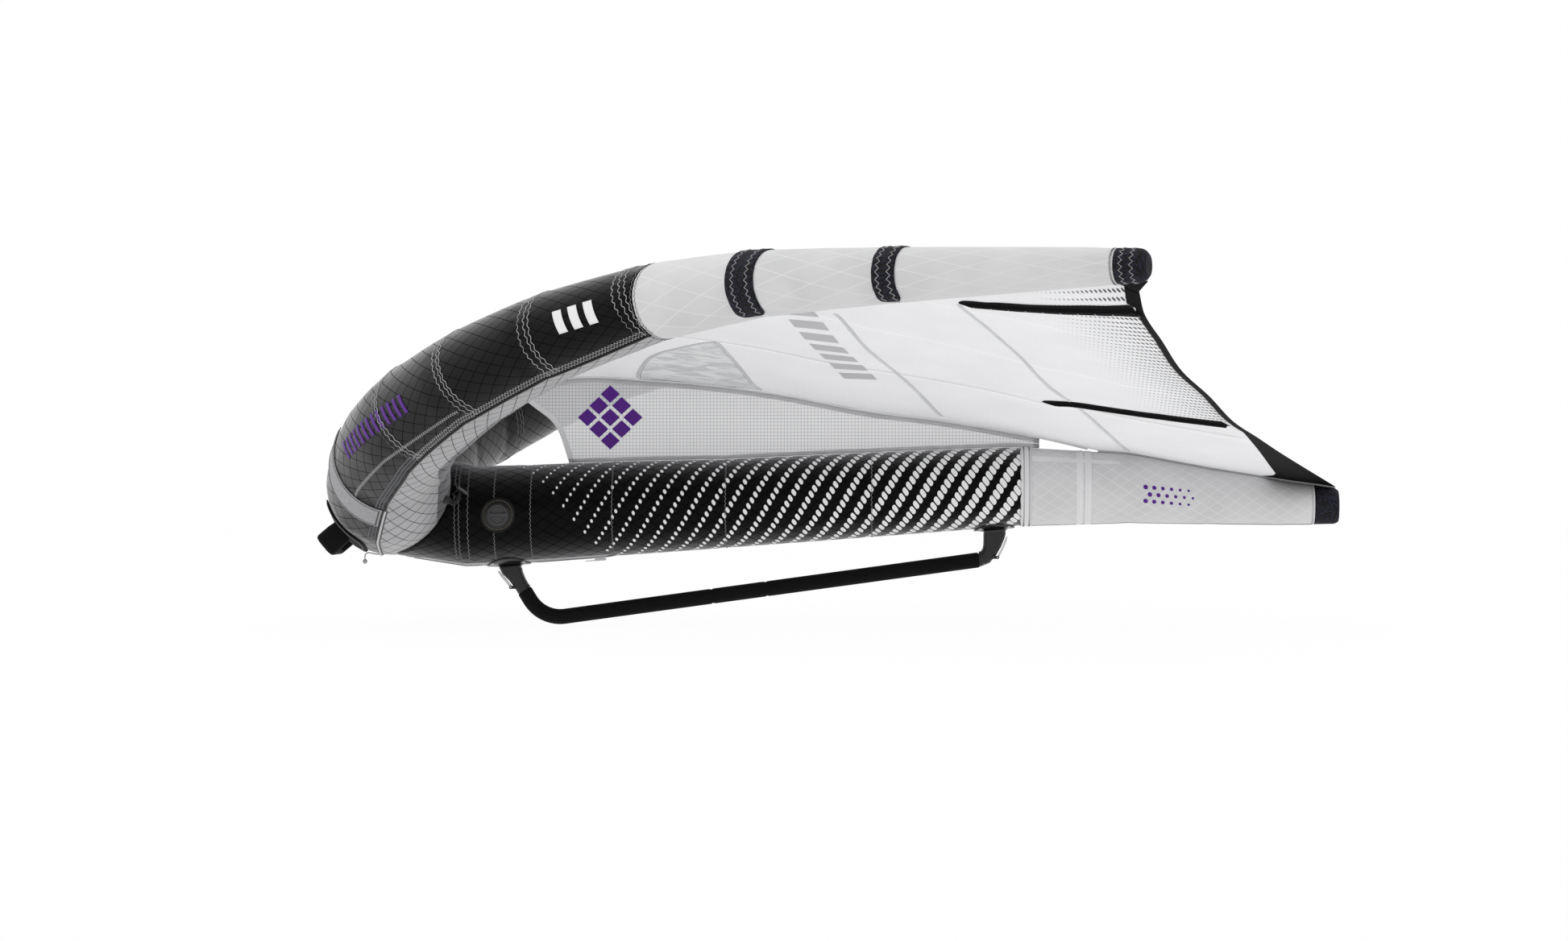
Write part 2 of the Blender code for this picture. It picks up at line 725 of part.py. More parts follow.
def build_canopy():
    """Panels, windows, tail corners, tapes and battens of both halves."""
    for side, name in ((-1, "left"), (1, "right")):
        rows = cloth_rows(lambda s: 0.0, lambda s: 1 - tape_share(s), CHORD_STEPS, side)
        whole = lofted("canopy_whole", rows, closed=False, up=(0, 0, 1))
        front_seam = plan_line(*WINDOW_FRONT)
        rear_seam = plan_line(*WINDOW_REAR)
        pieces = (
            ("canopy_front_" + name, None, front_seam, WHITE_CLOTH),
            ("canopy_window_" + name, front_seam, rear_seam, CLEAR_FILM),
            ("canopy_main_" + name, rear_seam, TAIL_PATCH, WHITE_CLOTH),
            ("canopy_tail_" + name, TAIL_PATCH, None, BLACK),
        )
        for title, front, rear, look in pieces:
            mesh = keep_behind(whole, title, front, rear, side)
            thicken(place(title, mesh, look), SHEET_WALL)
        cloth = BVHTree.FromPolygons(
            [vertex.co for vertex in whole.vertices], [face.vertices for face in whole.polygons]
        )
        bpy.data.meshes.remove(whole)
        rows = cloth_rows(lambda s: 1 - tape_share(s) * 0.93, lambda s: 1.0, 1, side)
        title = "trailing_tape_" + name
        mesh = lofted(title, rows, closed=False, up=(0, 0, 1))
        thicken(place(title, mesh, BLACK), SHEET_WALL)
        for level in BATTENS:
            build_batten(f"batten_{level}_{name}", BATTENS[level], side, cloth)


def build_batten(title, ends, side, cloth):
    """A flat batten under the cloth, between two plan points."""
    steps = 6
    rows = []
    start, end = Vector(ends[0]), Vector(ends[1])
    across = Vector((start.y - end.y, end.x - start.x)).normalized() * BATTEN_WIDTH / 2
    for i in range(steps + 1):
        middle = start.lerp(end, i / steps)
        row = []
        for sign in (-1, 1):
            plan = middle + sign * across
            above, normal, _, _ = cloth.ray_cast(Vector((plan.x, side * plan.y, 0)), Vector((0, 0, 1)))
            row.append(above - normal * math.copysign(SHEET_WALL + BATTEN_GAP, normal.z))
        rows.append(row)
    mesh = lofted(title, rows, closed=False, up=(0, 0, 1))
    thicken(place(title, mesh, BLACK), BATTEN_DEPTH)


def build_profile_panel():
    """The upright panel between the strut and the canopy."""
    clear = 0.0012
    top_steps = 14
    seams = [row[0] for row in STRUT if PANEL_FOOT_X < row[0] < PANEL_REAR_X]
    foot = [PANEL_FOOT_X] + seams + [PANEL_REAR_X]
    outline = [(x, on_strut(x, 0, clear).z) for x in foot]
    top_front = PANEL_FRONT[0][0]
    for i in range(top_steps + 1):
        x = PANEL_REAR_X + (top_front - PANEL_REAR_X) * i / top_steps
        outline.append((x, middle_height(x) - 0.0035))
    outline += list(PANEL_FRONT[1:])
    curve = flat_outline("profile_panel", [outline], PANEL_WALL / 2)
    upright(place("profile_panel", curve, WHITE_CLOTH))


def build_strut(nose):
    """Casings, bladder, tail cap and tapes of the strut. Its front is cut to the leading edge."""
    rings = strut_rings(STRUT_FRONT_SEAM, STRUT_COLOUR_BREAK)
    front = []
    for i, start in enumerate(rings[0]):
        aim = (on_strut(STRUT[0][0], i * STEP_ANGLE) - start).normalized()
        point = nose.ray_cast(start, aim)[0]
        while nose.find_nearest(point)[3] < STRUT_TO_NOSE_GAP:
            point -= aim * 0.001
        front.append(point)
    mesh = lofted("strut_casing_front", [front] + rings)
    casing = thicken(place("strut_casing_front", mesh, BLACK), CASING_WALL)
    rings = strut_rings(STRUT_COLOUR_BREAK + GAP, TAIL_SEAM)
    mesh = lofted("strut_casing_rear", rings)
    thicken(place("strut_casing_rear", mesh, LIGHT_CLOTH), CASING_WALL)
    inside = -CASING_WALL - 2 * GAP
    rings = strut_rings(STRUT_FRONT_SEAM + 0.012, TAIL_SEAM - 0.010, inside, BLADDER_SIDES)
    mesh = lofted("strut_bladder", rings, cap_start=True, cap_end=True)
    bladder = thicken(place("strut_bladder", mesh, BLADDER_FILM), FILM_WALL)
    rings = strut_rings(TAIL_SEAM + GAP, TAIL_END - 0.004)
    rings.append([on_strut(TAIL_END, i * STEP_ANGLE, -0.004) for i in range(TUBE_SIDES)])
    mesh = lofted("strut_tail_cap", rings, cap_end=True)
    thicken(place("strut_tail_cap", mesh, BLACK), CASING_WALL)
    for title, start, end in (
        ("strut_seam_tape", -0.800, -0.668),
        ("strut_zip_tape", -0.565, -0.415),
    ):
        stations = [start] + [row[0] for row in STRUT if start < row[0] < end] + [end]
        rows = [[on_strut(x, angle, GAP) for angle in (171, 180, 189)] for x in stations]
        mesh = lofted(title, rows, closed=False, up=(0, 0, -1))
        thicken(place(title, mesh, WEBBING), TRIM_WALL, inward=False)
    return casing, bladder


def build_zip_slider():
    """The slider and its pull, which run along the zip tape."""
    below = on_strut(ZIP_START, 180, 2 * GAP + TRIM_WALL)
    joint = joint_axis("zip_axis", below)
    turn = Matrix.Rotation(-ZIP_SLOPE, 3, "Y")
    centre = below - Vector((0, 0, 0.0030))
    body = box_mesh("zip_slider", (0.022, 0.011, 0.0046), centre, turn, bevel=0.0012)
    slider = place("zip_slider", body, STEEL, joint)
    pull_at = centre + Vector((-0.017, 0, -0.0022))
    join(slider, box_mesh("zip_pull", (0.024, 0.007, 0.0016), pull_at, turn, bevel=0.0004))


def wrapped_disc(name, x, angle, half_length, half_width, stand_off, hole=0.0):
    """A round or oval skin that follows the strut, round a hole if there is one."""
    _, _, radius = straight_between(STRUT, x)
    rings = 1 if hole else 3
    points = 20
    rows = []
    for k in range(rings + 1):
        share = hole + (1 - hole) * k / rings
        row = []
        for i in range(points):
            turn = 2 * math.pi * i / points
            along = half_length * share * math.cos(turn)
            girth = half_width * share * math.sin(turn) / radius
            row.append(on_strut(x + along, angle + math.degrees(girth), stand_off))
        rows.append(row)
    outward = on_strut(x, angle, 0.01) - on_strut(x, angle)
    if hole:
        return lofted(name, rows, up=outward)
    return lofted(name, rows[1:], cap_start=True, up=outward)


def build_valve(casing, bladder):
    """The inflation valve on the strut's left side."""
    _, height, radius = straight_between(STRUT, VALVE_X)
    wall = -radius

    def across(name, start, end, size, sides=20):
        return rod_mesh(name, (VALVE_X, wall - start, height), (VALVE_X, wall - end, height), size, sides)

    for item in (casing, bladder):
        cut(item, across("valve_hole_" + item.name, -0.012, 0.012, VALVE_COLLAR_RADIUS + 0.0006))
    flange = wrapped_disc(
        "valve_base", VALVE_X, 90, VALVE_FLANGE_RADIUS, VALVE_FLANGE_RADIUS, 0.0016,
        hole=(VALVE_COLLAR_RADIUS - 0.0012) / VALVE_FLANGE_RADIUS,
    )
    base = thicken(place("valve_base", flange, MOULDED), 0.0016, inward=False)
    join(base, across("valve_collar", -0.0100, 0.0045, VALVE_COLLAR_RADIUS))
    cut(base, across("valve_bore", -0.0200, 0.0200, VALVE_BORE_RADIUS))
    axis_point = (VALVE_X, wall, height)
    plug_joint = joint_axis("valve_plug_axis", axis_point)
    place("valve_plug", across("valve_plug", -0.0090, 0.0040, VALVE_PLUG_RADIUS), MOULDED, plug_joint)
    cap_joint = joint_axis("valve_cap_axis", axis_point)
    cap = place("valve_cap", across("valve_cap", 0.0050, 0.0078, VALVE_CAP_RADIUS), MOULDED, cap_joint)
    bar_centre = (VALVE_X, wall - 0.0088, height)
    join(cap, box_mesh("valve_grip_bar", (0.034, 0.0030, 0.0050), bar_centre, bevel=0.0008))


def hose_ends():
    """Foot and direction of the two fittings, at the middle of a face of each tube."""
    ends = []
    for point, (where, angle) in ((on_leading_edge, HOSE_ON_TUBE), (on_strut, HOSE_ON_STRUT)):
        outward = (point(where, angle, 0.01) - point(where, angle)).normalized()
        ends.append((point(where, angle, FITTING_STAND_OFF), outward))
    return ends


def build_hose():
    """The transfer hose, its fittings and the pinch clip."""
    (foot_a, out_a), (foot_b, out_b) = hose_ends()
    for title, foot, outward in (
        ("hose_fitting_leading_edge", foot_a, out_a),
        ("hose_fitting_strut", foot_b, out_b),
    ):
        top = foot + outward * FITTING_LENGTH
        place(title, rod_mesh(title, foot, top, FITTING_RADIUS, 12, HOSE_RADIUS + 0.001), MOULDED)
    start = foot_a + out_a * (FITTING_LENGTH + HOSE_GAP)
    end = foot_b + out_b * (FITTING_LENGTH + HOSE_GAP)
    lead_a = start + out_a * 0.006
    lead_b = end + out_b * 0.006
    middle = (lead_a + lead_b) / 2 + Vector((0.010, -0.008, 0.0))
    route = smooth_route([start, lead_a, middle, lead_b, end], 10)
    thicken(place("transfer_hose", round_tube("transfer_hose", route, HOSE_RADIUS, False), MOULDED), 0.001)
    along = (route[6] - route[4]).normalized()
    build_pinch_clip(route[5], along)


def build_pinch_clip(centre, along):
    """A clip round the hose: a channel under it and a lever over it, hinged at one side."""
    aside = Vector((0.7, -0.7, 0.3))
    outward = (aside - along * aside.dot(along)).normalized()
    side = outward.cross(along)
    turn = Matrix((along, side, outward)).transposed()
    floor = centre - outward * (HOSE_RADIUS + 0.0022)
    body = place(
        "pinch_clip_body", box_mesh("pinch_clip_body", (0.012, 0.021, 0.0030), floor, turn, bevel=0.0006), MOULDED
    )
    post = centre + side * 0.0085 - outward * 0.0003
    join(body, box_mesh("pinch_clip_post", (0.012, 0.0032, 0.0120), post, turn))
    hinge = centre + side * 0.0085 + outward * 0.0082
    joint = joint_axis("pinch_clip_axis", hinge)
    middle = centre + outward * 0.0082 - side * 0.004
    mesh = box_mesh("pinch_clip_lever", (0.010, 0.026, 0.0026), middle, turn, bevel=0.0006)
    place("pinch_clip_lever", mesh, LATCH_GREY, joint)


def boom_path(from_front, to_rear):
    """Points of the boom's centre line. The lengths run past the bend's two ends."""
    lowest_face = GRIP_RADIUS * math.cos(math.pi / GRIP_SIDES)
    centre = Vector((LOWEST_X, 0, lowest_face + BEND_RADIUS))

    def on_bend(angle):
        turn = math.radians(angle)
        return centre + BEND_RADIUS * Vector((math.sin(turn), 0, -math.cos(turn)))

    bend = [-FRONT_LEG_ANGLE * (1 - i / 7) for i in range(8)] + [RUN_ANGLE]
    points = [on_bend(angle) for angle in bend]
    front = math.radians(FRONT_LEG_ANGLE)
    rear = math.radians(RUN_ANGLE)
    first = points[0] + from_front * Vector((-math.cos(front), 0, math.sin(front)))
    last = points[-1] + to_rear * Vector((math.cos(rear), 0, math.sin(rear)))
    return [first] + points + [last]


def socket_section(front_x, front_z, rear_x, rear_z, half_width, squareness):
    """A rounded section between a front and a rear point."""
    front, rear = Vector((front_x, 0, front_z)), Vector((rear_x, 0, rear_z))
    centre, reach = (front + rear) / 2, (rear - front) / 2
    ring = []
    for i in range(SOCKET_SIDES):
        turn = 2 * math.pi * i / SOCKET_SIDES
        c, s = math.cos(turn), math.sin(turn)
        u = math.copysign(abs(c) ** (2 / squareness), c)
        v = math.copysign(abs(s) ** (2 / squareness), s)
        ring.append(centre + reach * u + Vector((0, half_width * v, 0)))
    return ring


def build_socket(title, sections, mouth, back_into, depth, tongue_x, pin, joint):
    """A boom end: a hollow for the tongue on top, a bore for the tube, and ears for the latch pin."""
    mesh = lofted(title, [socket_section(*row) for row in sections], cap_start=True, cap_end=True)
    split_faces(mesh)
    socket = place(title, mesh, MOULDED, joint)
    top = sections[0][1]
    x, z = pin
    for sign in (-1, 1):
        inner, outer = sign * EAR_HALF_GAP, sign * PIN_HALF_LENGTH
        ear = rod_mesh(f"{title}_ear_{sign}", (x, inner, z), (x, outer, z), KNUCKLE_RADIUS, 12)
        join(socket, ear)
        towards_body = 1 if x < 0 else -1
        web = box_mesh(
            f"{title}_web_{sign}", (EAR_LENGTH, PIN_HALF_LENGTH - EAR_HALF_GAP - GAP, 0.0056),
            (x + towards_body * EAR_LENGTH / 2, (inner + outer) / 2, z),
        )
        join(socket, web)
    pocket = (TONGUE[0] + 2 * TONGUE_PLAY, TONGUE[1] + 2 * TONGUE_PLAY, 2 * (TONGUE[2] + TONGUE_PLAY))
    cut(socket, box_mesh(title + "_pocket", pocket, (tongue_x, 0, top + GAP)))
    start, end = mouth - back_into * 0.01, mouth + back_into * depth
    cut(socket, rod_mesh(title + "_bore", start, end, BOOM_TUBE_RADIUS + BORE_PLAY, 16))
    cut(socket, rod_mesh(title + "_pin_hole", (x, -0.02, z), (x, 0.02, z), PIN_RADIUS + 0.0003, 12))
    return socket


def build_saddle(title, x, half_length, half_width, tongue_x, section):
    """A moulded pad that follows the strut, with a neck and a tongue for the boom's socket."""
    disc = wrapped_disc(title, x, 180, half_length, half_width, 0.0010)
    saddle = thicken(place(title, disc, MOULDED), 0.0030, inward=False)
    root = on_strut(tongue_x, 180, 0.0022).z
    front_x, socket_top, rear_x = section[:3]
    foot = socket_top + GAP
    size = (rear_x - front_x - 0.002, 0.028, root - foot)
    centre = ((front_x + rear_x) / 2, 0, (root + foot) / 2)
    join(saddle, box_mesh(title + "_neck", size, centre))
    low = foot - TONGUE[2]
    centre = (tongue_x, 0, (low + foot + 0.002) / 2)
    join(saddle, box_mesh(title + "_tongue", (TONGUE[0], TONGUE[1], foot + 0.002 - low), centre))


def build_latch(title, line, pin, outward_x, joint):
    """A curved lever along the outer face of a socket, with an eye round its pin."""
    inner, outer = [], []
    for i, point in enumerate(line):
        ahead = Vector(line[min(i + 1, len(line) - 1)])
        behind = Vector(line[max(i - 1, 0)])
        along = (ahead - behind).normalized()
        normal = Vector((along.y, -along.x))
        if normal.x * outward_x < 0:
            normal = -normal
        depth = LATCH_DEPTH * (0.5 if i == 0 else 1)
        inner.append(Vector(point) + normal * LATCH_CLEARANCE)
        outer.append(Vector(point) + normal * (LATCH_CLEARANCE + depth))
    x, z = pin
    foot = [Vector((x - outward_x * 0.0012, z)), Vector((x + outward_x * 0.0026, z))]
    outline = [tuple(point) for point in inner + foot + outer[::-1]]
    latch = place(title, solid_outline(title, outline, LATCH_HALF_WIDTH), LATCH_GREY, joint)
    reach = Vector((0, LATCH_HALF_WIDTH, 0))
    centre = Vector((x, 0, z))
    join(latch, rod_mesh(title + "_eye", centre - reach, centre + reach, KNUCKLE_RADIUS, 14))
    hole = PIN_RADIUS + 0.0003
    cut(latch, rod_mesh(title + "_pin_hole", centre - 2 * reach, centre + 2 * reach, hole, 12))


def build_boom():
    """Saddles on the strut, and the boom that slides down off them."""
    path = boom_path(FRONT_LEG, RUN)
    front_mouth, rear_mouth = path[0], path[-1]
    joint = joint_axis("boom_axis", ((FRONT_TONGUE_X + REAR_TONGUE_X) / 2, 0, FRONT_SOCKET[0][1]))
    tube = round_tube("boom_tube", boom_path(FRONT_LEG + FRONT_INSERT, RUN + REAR_INSERT), BOOM_TUBE_RADIUS, False, GRIP_SIDES)
    thicken(place("boom_tube", tube, CARBON, joint), BOOM_TUBE_WALL)
    grip = round_tube("boom_grip", boom_path(FRONT_LEG - GRIP_END_GAP, RUN - GRIP_END_GAP), GRIP_RADIUS, False, GRIP_SIDES)
    thicken(place("boom_grip", grip, FOAM, joint), GRIP_RADIUS - BOOM_TUBE_RADIUS - 0.0004)
    up_leg = (path[0] - path[1]).normalized()
    up_run = (path[-1] - path[-2]).normalized()
    build_socket("front_socket", FRONT_SOCKET, front_mouth, up_leg, FRONT_INSERT + 0.0006, FRONT_TONGUE_X, FRONT_PIN, joint)
    build_socket("rear_socket", REAR_SOCKET, rear_mouth, up_run, REAR_INSERT + 0.0006, REAR_TONGUE_X, REAR_PIN, joint)
    build_saddle("front_saddle", FRONT_SADDLE_X, 0.043, 0.050, FRONT_TONGUE_X, FRONT_SOCKET[0])
    build_saddle("rear_saddle", REAR_SADDLE_X, 0.040, 0.036, REAR_TONGUE_X, REAR_SOCKET[0])
    for end, line, pin, outward_x in (
        ("front", FRONT_LATCH_LINE, FRONT_PIN, -1),
        ("rear", REAR_LATCH_LINE, REAR_PIN, 1),
    ):
        x, z = pin
        axis = joint_axis(end + "_latch_axis", (x, 0, z))
        build_latch(end + "_latch", line, pin, outward_x, axis)
        title = end + "_latch_pin"
        rod = rod_mesh(title, (x, -PIN_HALF_LENGTH + 0.0008, z), (x, PIN_HALF_LENGTH - 0.0008, z), PIN_RADIUS, 10)
        place(title, rod, STEEL, joint)


def main():
    nose = build_leading_edge()
    build_nose_handle()
    build_pigtail()
    build_canopy()
    build_profile_panel()
    casing, bladder = build_strut(nose)
    build_valve(casing, bladder)
    build_zip_slider()
    build_hose()
    build_boom()


main()
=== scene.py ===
"""Looks of a wingfoil wing: printed and coated cloth, stretched canopy, windows, moulded boom ends.

+X points aft, +Z up, the wing spans Y and its left side is -Y. Metres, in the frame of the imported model.
"""

import logging
import math
from dataclasses import dataclass
from enum import Enum, IntEnum
from typing import Callable, Sequence

import bmesh
import bpy
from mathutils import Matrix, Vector, noise
from mathutils.bvhtree import BVHTree


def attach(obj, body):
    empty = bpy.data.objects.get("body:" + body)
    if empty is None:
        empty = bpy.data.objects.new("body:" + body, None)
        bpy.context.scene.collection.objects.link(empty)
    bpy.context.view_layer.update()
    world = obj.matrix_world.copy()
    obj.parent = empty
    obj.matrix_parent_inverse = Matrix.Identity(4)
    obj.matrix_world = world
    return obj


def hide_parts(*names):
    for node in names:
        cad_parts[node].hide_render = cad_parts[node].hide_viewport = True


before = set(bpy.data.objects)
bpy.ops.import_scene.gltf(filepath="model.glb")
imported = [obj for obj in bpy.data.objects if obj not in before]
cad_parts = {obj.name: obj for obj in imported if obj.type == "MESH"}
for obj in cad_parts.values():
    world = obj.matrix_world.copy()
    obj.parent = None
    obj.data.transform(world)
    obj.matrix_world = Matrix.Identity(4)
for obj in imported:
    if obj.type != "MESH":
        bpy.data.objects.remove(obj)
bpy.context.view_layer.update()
LOG = logging.getLogger("wing")

Point = tuple[float, float]
Row = tuple[float, ...]
Curve = Callable[[float], float]
Tree = bpy.types.NodeTree
Node = bpy.types.Node
Socket = bpy.types.NodeSocket

# Leading edge, one row a seam from the nose to the tip: distance along the tube, x, y, z, radius.
LEADING_EDGE: tuple[Row, ...] = (
    (0.0000, -0.844, 0.000, 0.2540, 0.1215),
    (0.1100, -0.838, 0.106, 0.2730, 0.1181),
    (0.2860, -0.806, 0.273, 0.3350, 0.1081),
    (0.4620, -0.749, 0.433, 0.3860, 0.1009),
    (0.7360, -0.619, 0.658, 0.4610, 0.0895),
    (0.9890, -0.465, 0.851, 0.5260, 0.0786),
    (1.2750, -0.268, 1.053, 0.5790, 0.0662),
    (1.5170, -0.087, 1.206, 0.6030, 0.0559),
    (1.7800, 0.130, 1.354, 0.6100, 0.0455),
    (2.1650, 0.476, 1.519, 0.6160, 0.0301),
    (2.2275, 0.535, 1.540, 0.6165, 0.0265),
)
COLOUR_BREAK = 1.283
TIP_SEAM = 2.177
TUBE_END = 2.2275

# Strut, one row a seam from the nose to the tail: x, height of the centre, radius.
STRUT: tuple[Row, ...] = (
    (-0.865, 0.2365, 0.0980),
    (-0.700, 0.2120, 0.0995),
    (-0.677, 0.2090, 0.0958),
    (-0.572, 0.2135, 0.0940),
    (-0.416, 0.2225, 0.0914),
    (-0.199, 0.2325, 0.0856),
    (0.081, 0.2495, 0.0817),
    (0.361, 0.2655, 0.0762),
    (0.579, 0.2620, 0.0665),
    (0.735, 0.2465, 0.0530),
    (0.890, 0.2335, 0.0416),
    (0.981, 0.2280, 0.0340),
)
STRUT_FRONT_SEAM = -0.700
STRUT_COLOUR_BREAK = 0.374
TAIL_SEAM = 0.934
TAIL_END = 0.981

# Canopy: the line over the strut as x, z up to where the cloth lies on the strut, then its rear edge.
MIDLINE: tuple[Row, ...] = (
    (-0.685, 0.396),
    (-0.585, 0.455),
    (-0.485, 0.478),
    (-0.342, 0.472),
    (-0.230, 0.463),
    (-0.099, 0.446),
    (0.075, 0.413),
    (0.222, 0.394),
    (0.405, 0.362),
    (0.519, 0.3355),
)
CLOTH_ON_STRUT = 0.0022
TRAILING_EDGE: tuple[Row, ...] = (  # y, x, z
    (0.000, 0.976, 0.2665),
    (0.300, 0.849, 0.327),
    (0.460, 0.792, 0.355),
    (0.650, 0.732, 0.383),
    (0.860, 0.676, 0.423),
    (1.060, 0.616, 0.462),
    (1.280, 0.569, 0.507),
    (1.420, 0.534, 0.544),
    (1.490, 0.522, 0.577),
)
SPAN_ON_TUBE = 2.165
SEAM_ANGLES: tuple[Row, ...] = (  # distance along the tube, angle up from straight aft
    (0.0, 36.0),
    (0.450, 36.0),
    (0.989, 15.0),
    (1.275, -10.0),
    (1.600, -38.0),
    (2.165, -55.0),
)
CAMBER_POWER = 1.6


def between(rows: Sequence[Row], value: float) -> Row:
    """Reads a table whose first column rises, straight between its rows.

    Args:
        rows: the table.
        value: where to read it, in the first column.

    Returns:
        The whole row at that value.
    """
    for low, high in zip(rows, rows[1:]):
        if value <= high[0] or high is rows[-1]:
            share = (value - low[0]) / (high[0] - low[0])
            return tuple(a + (b - a) * share for a, b in zip(low, high))
    return rows[-1]


def smooth_between(rows: Sequence[Row], value: float) -> Row:
    """Reads a table as between does, on a smooth curve through its rows.

    Args:
        rows: the table.
        value: where to read it, in the first column.

    Returns:
        The whole row at that value.
    """
    last = len(rows) - 1
    i = next((k for k in range(last) if value <= rows[k + 1][0]), last - 1)
    low, high = rows[i], rows[i + 1]
    before, after = rows[max(i - 1, 0)], rows[min(i + 2, last)]
    width = high[0] - low[0]
    u = (value - low[0]) / width
    found = []
    for k in range(len(low)):
        slope_low = (high[k] - before[k]) / (high[0] - before[0]) * width
        slope_high = (after[k] - low[k]) / (after[0] - low[0]) * width
        found.append(
            (2 * u**3 - 3 * u**2 + 1) * low[k]
            + (u**3 - 2 * u**2 + u) * slope_low
            + (3 * u**2 - 2 * u**3) * high[k]
            + (u**3 - u**2) * slope_high
        )
    return tuple(found)


def spread(start: float, end: float, step: float) -> list[float]:
    """Even values from start to end.

    Args:
        start: the first value.
        end: the last value.
        step: the most that two neighbours may differ.

    Returns:
        The values, both ends included.
    """
    count = max(1, math.ceil(abs(end - start) / step - 1e-9))
    return [start + (end - start) * i / count for i in range(count + 1)]


def bell(value: float) -> float:
    """1 at 0, falling off smoothly on both sides."""
    return math.exp(-(value**2))


def turning_point(holds: Callable[[float], bool]) -> Point:
    """Where a test that holds at 0 stops holding on the way to 1.

    Args:
        holds: the test.

    Returns:
        The last value at which it holds and the first at which it doesn't.
    """
    low, high = 0.0, 1.0
    for _ in range(30):
        middle = (low + high) / 2
        if holds(middle):
            low = middle
        else:
            high = middle
    return low, high


def circle(sides: int, closed: bool = False) -> list[Point]:
    """Cosine and sine of even turns round a circle, with the first one again at the end if closed."""
    turns = [2 * math.pi * i / sides for i in range(sides + closed)]
    return [(math.cos(turn), math.sin(turn)) for turn in turns]


def boxed(value: float, power: float) -> float:
    """A cosine or sine pushed outwards, which squares off the circle it draws."""
    return math.copysign(abs(value) ** power, value)


class LeadingEdgeSkin:
    """The leading edge tube as a surface: distance from the nose, left negative, and angle.

    The angle is 0 straight aft, 90 on top, 180 in front and 270 below. Cut panels meet at the seams of
    LEADING_EDGE, so the tube is nearly straight between them and turns in a short stretch at each.
    """

    roundness = 0.45  # 0 keeps the panels straight, 1 makes the tube one smooth curve
    seam_dip = 0.0011  # how deep a seam pulls the tube in
    seam_reach = 0.020

    def __init__(self) -> None:
        """Works out the directions aft and up at each seam."""
        centres = [Vector(row[1:4]) for row in LEADING_EDGE]
        self.rows: list[Row] = []
        for i, row in enumerate(LEADING_EDGE):
            along = Vector((0, 1, 0)) if i == 0 else (centres[i] - centres[i - 1]).normalized()
            if 0 < i < len(centres) - 1:
                along += (centres[i + 1] - centres[i]).normalized()
            along.normalize()
            aft = Vector((along.y, -along.x, 0)).normalized()
            self.rows.append((row[0], *centres[i], *aft, *aft.cross(along), row[4]))

    def radius(self, distance: float) -> float:
        """The tube's radius at a distance from the nose."""
        return between(LEADING_EDGE, abs(distance))[4]

    def to_seam(self, distance: float) -> float:
        """Length along the tube to the nearest seam ring."""
        return min(abs(abs(distance) - row[0]) for row in LEADING_EDGE[2:-1])

    def point(self, distance: float, angle: float, lift: float = 0.0) -> Vector:
        """A point on the tube.

        Args:
            distance: along the tube from the nose, negative on the left.
            angle: round the tube, in degrees.
            lift: height over the cloth.

        Returns:
            The point.
        """
        far = abs(distance)
        straight, curved = between(self.rows, far), smooth_between(self.rows, far)
        mix = [a + (b - a) * self.roundness for a, b in zip(straight, curved)]
        centre, aft, up = Vector(mix[1:4]), Vector(mix[4:7]), Vector(mix[7:10])
        turn = math.radians(angle)
        dip = self.seam_dip * bell(self.to_seam(far) / self.seam_reach)
        place = centre + (mix[10] - dip + lift) * (math.cos(turn) * aft + math.sin(turn) * up)
        if distance < 0:
            place.y = -place.y
        return place

    def normal(self, distance: float, angle: float) -> Vector:
        """The direction straight out of the tube."""
        return (self.point(distance, angle, 0.01) - self.point(distance, angle)).normalized()


class StrutSkin:
    """The strut as a surface: x, and an angle that is 0 on top, 90 on the left and 180 below."""

    seam_dip = 0.0007
    seam_reach = 0.012

    def radius(self, x: float) -> float:
        """The strut's radius at x."""
        return between(STRUT, x)[2]

    def point(self, x: float, angle: float, lift: float = 0.0) -> Vector:
        """A point on the strut.

        Args:
            x: along the strut.
            angle: round the strut, in degrees.
            lift: height over the cloth.

        Returns:
            The point.
        """
        _, height, radius = between(STRUT, x)
        nearest = min(abs(x - row[0]) for row in STRUT[3:-1])
        reach = radius + lift - self.seam_dip * bell(nearest / self.seam_reach)
        turn = math.radians(angle)
        return Vector((x, -reach * math.sin(turn), height + reach * math.cos(turn)))

    def normal(self, x: float, angle: float) -> Vector:
        """The direction straight out of the strut."""
        turn = math.radians(angle)
        return Vector((0, -math.sin(turn), math.cos(turn)))


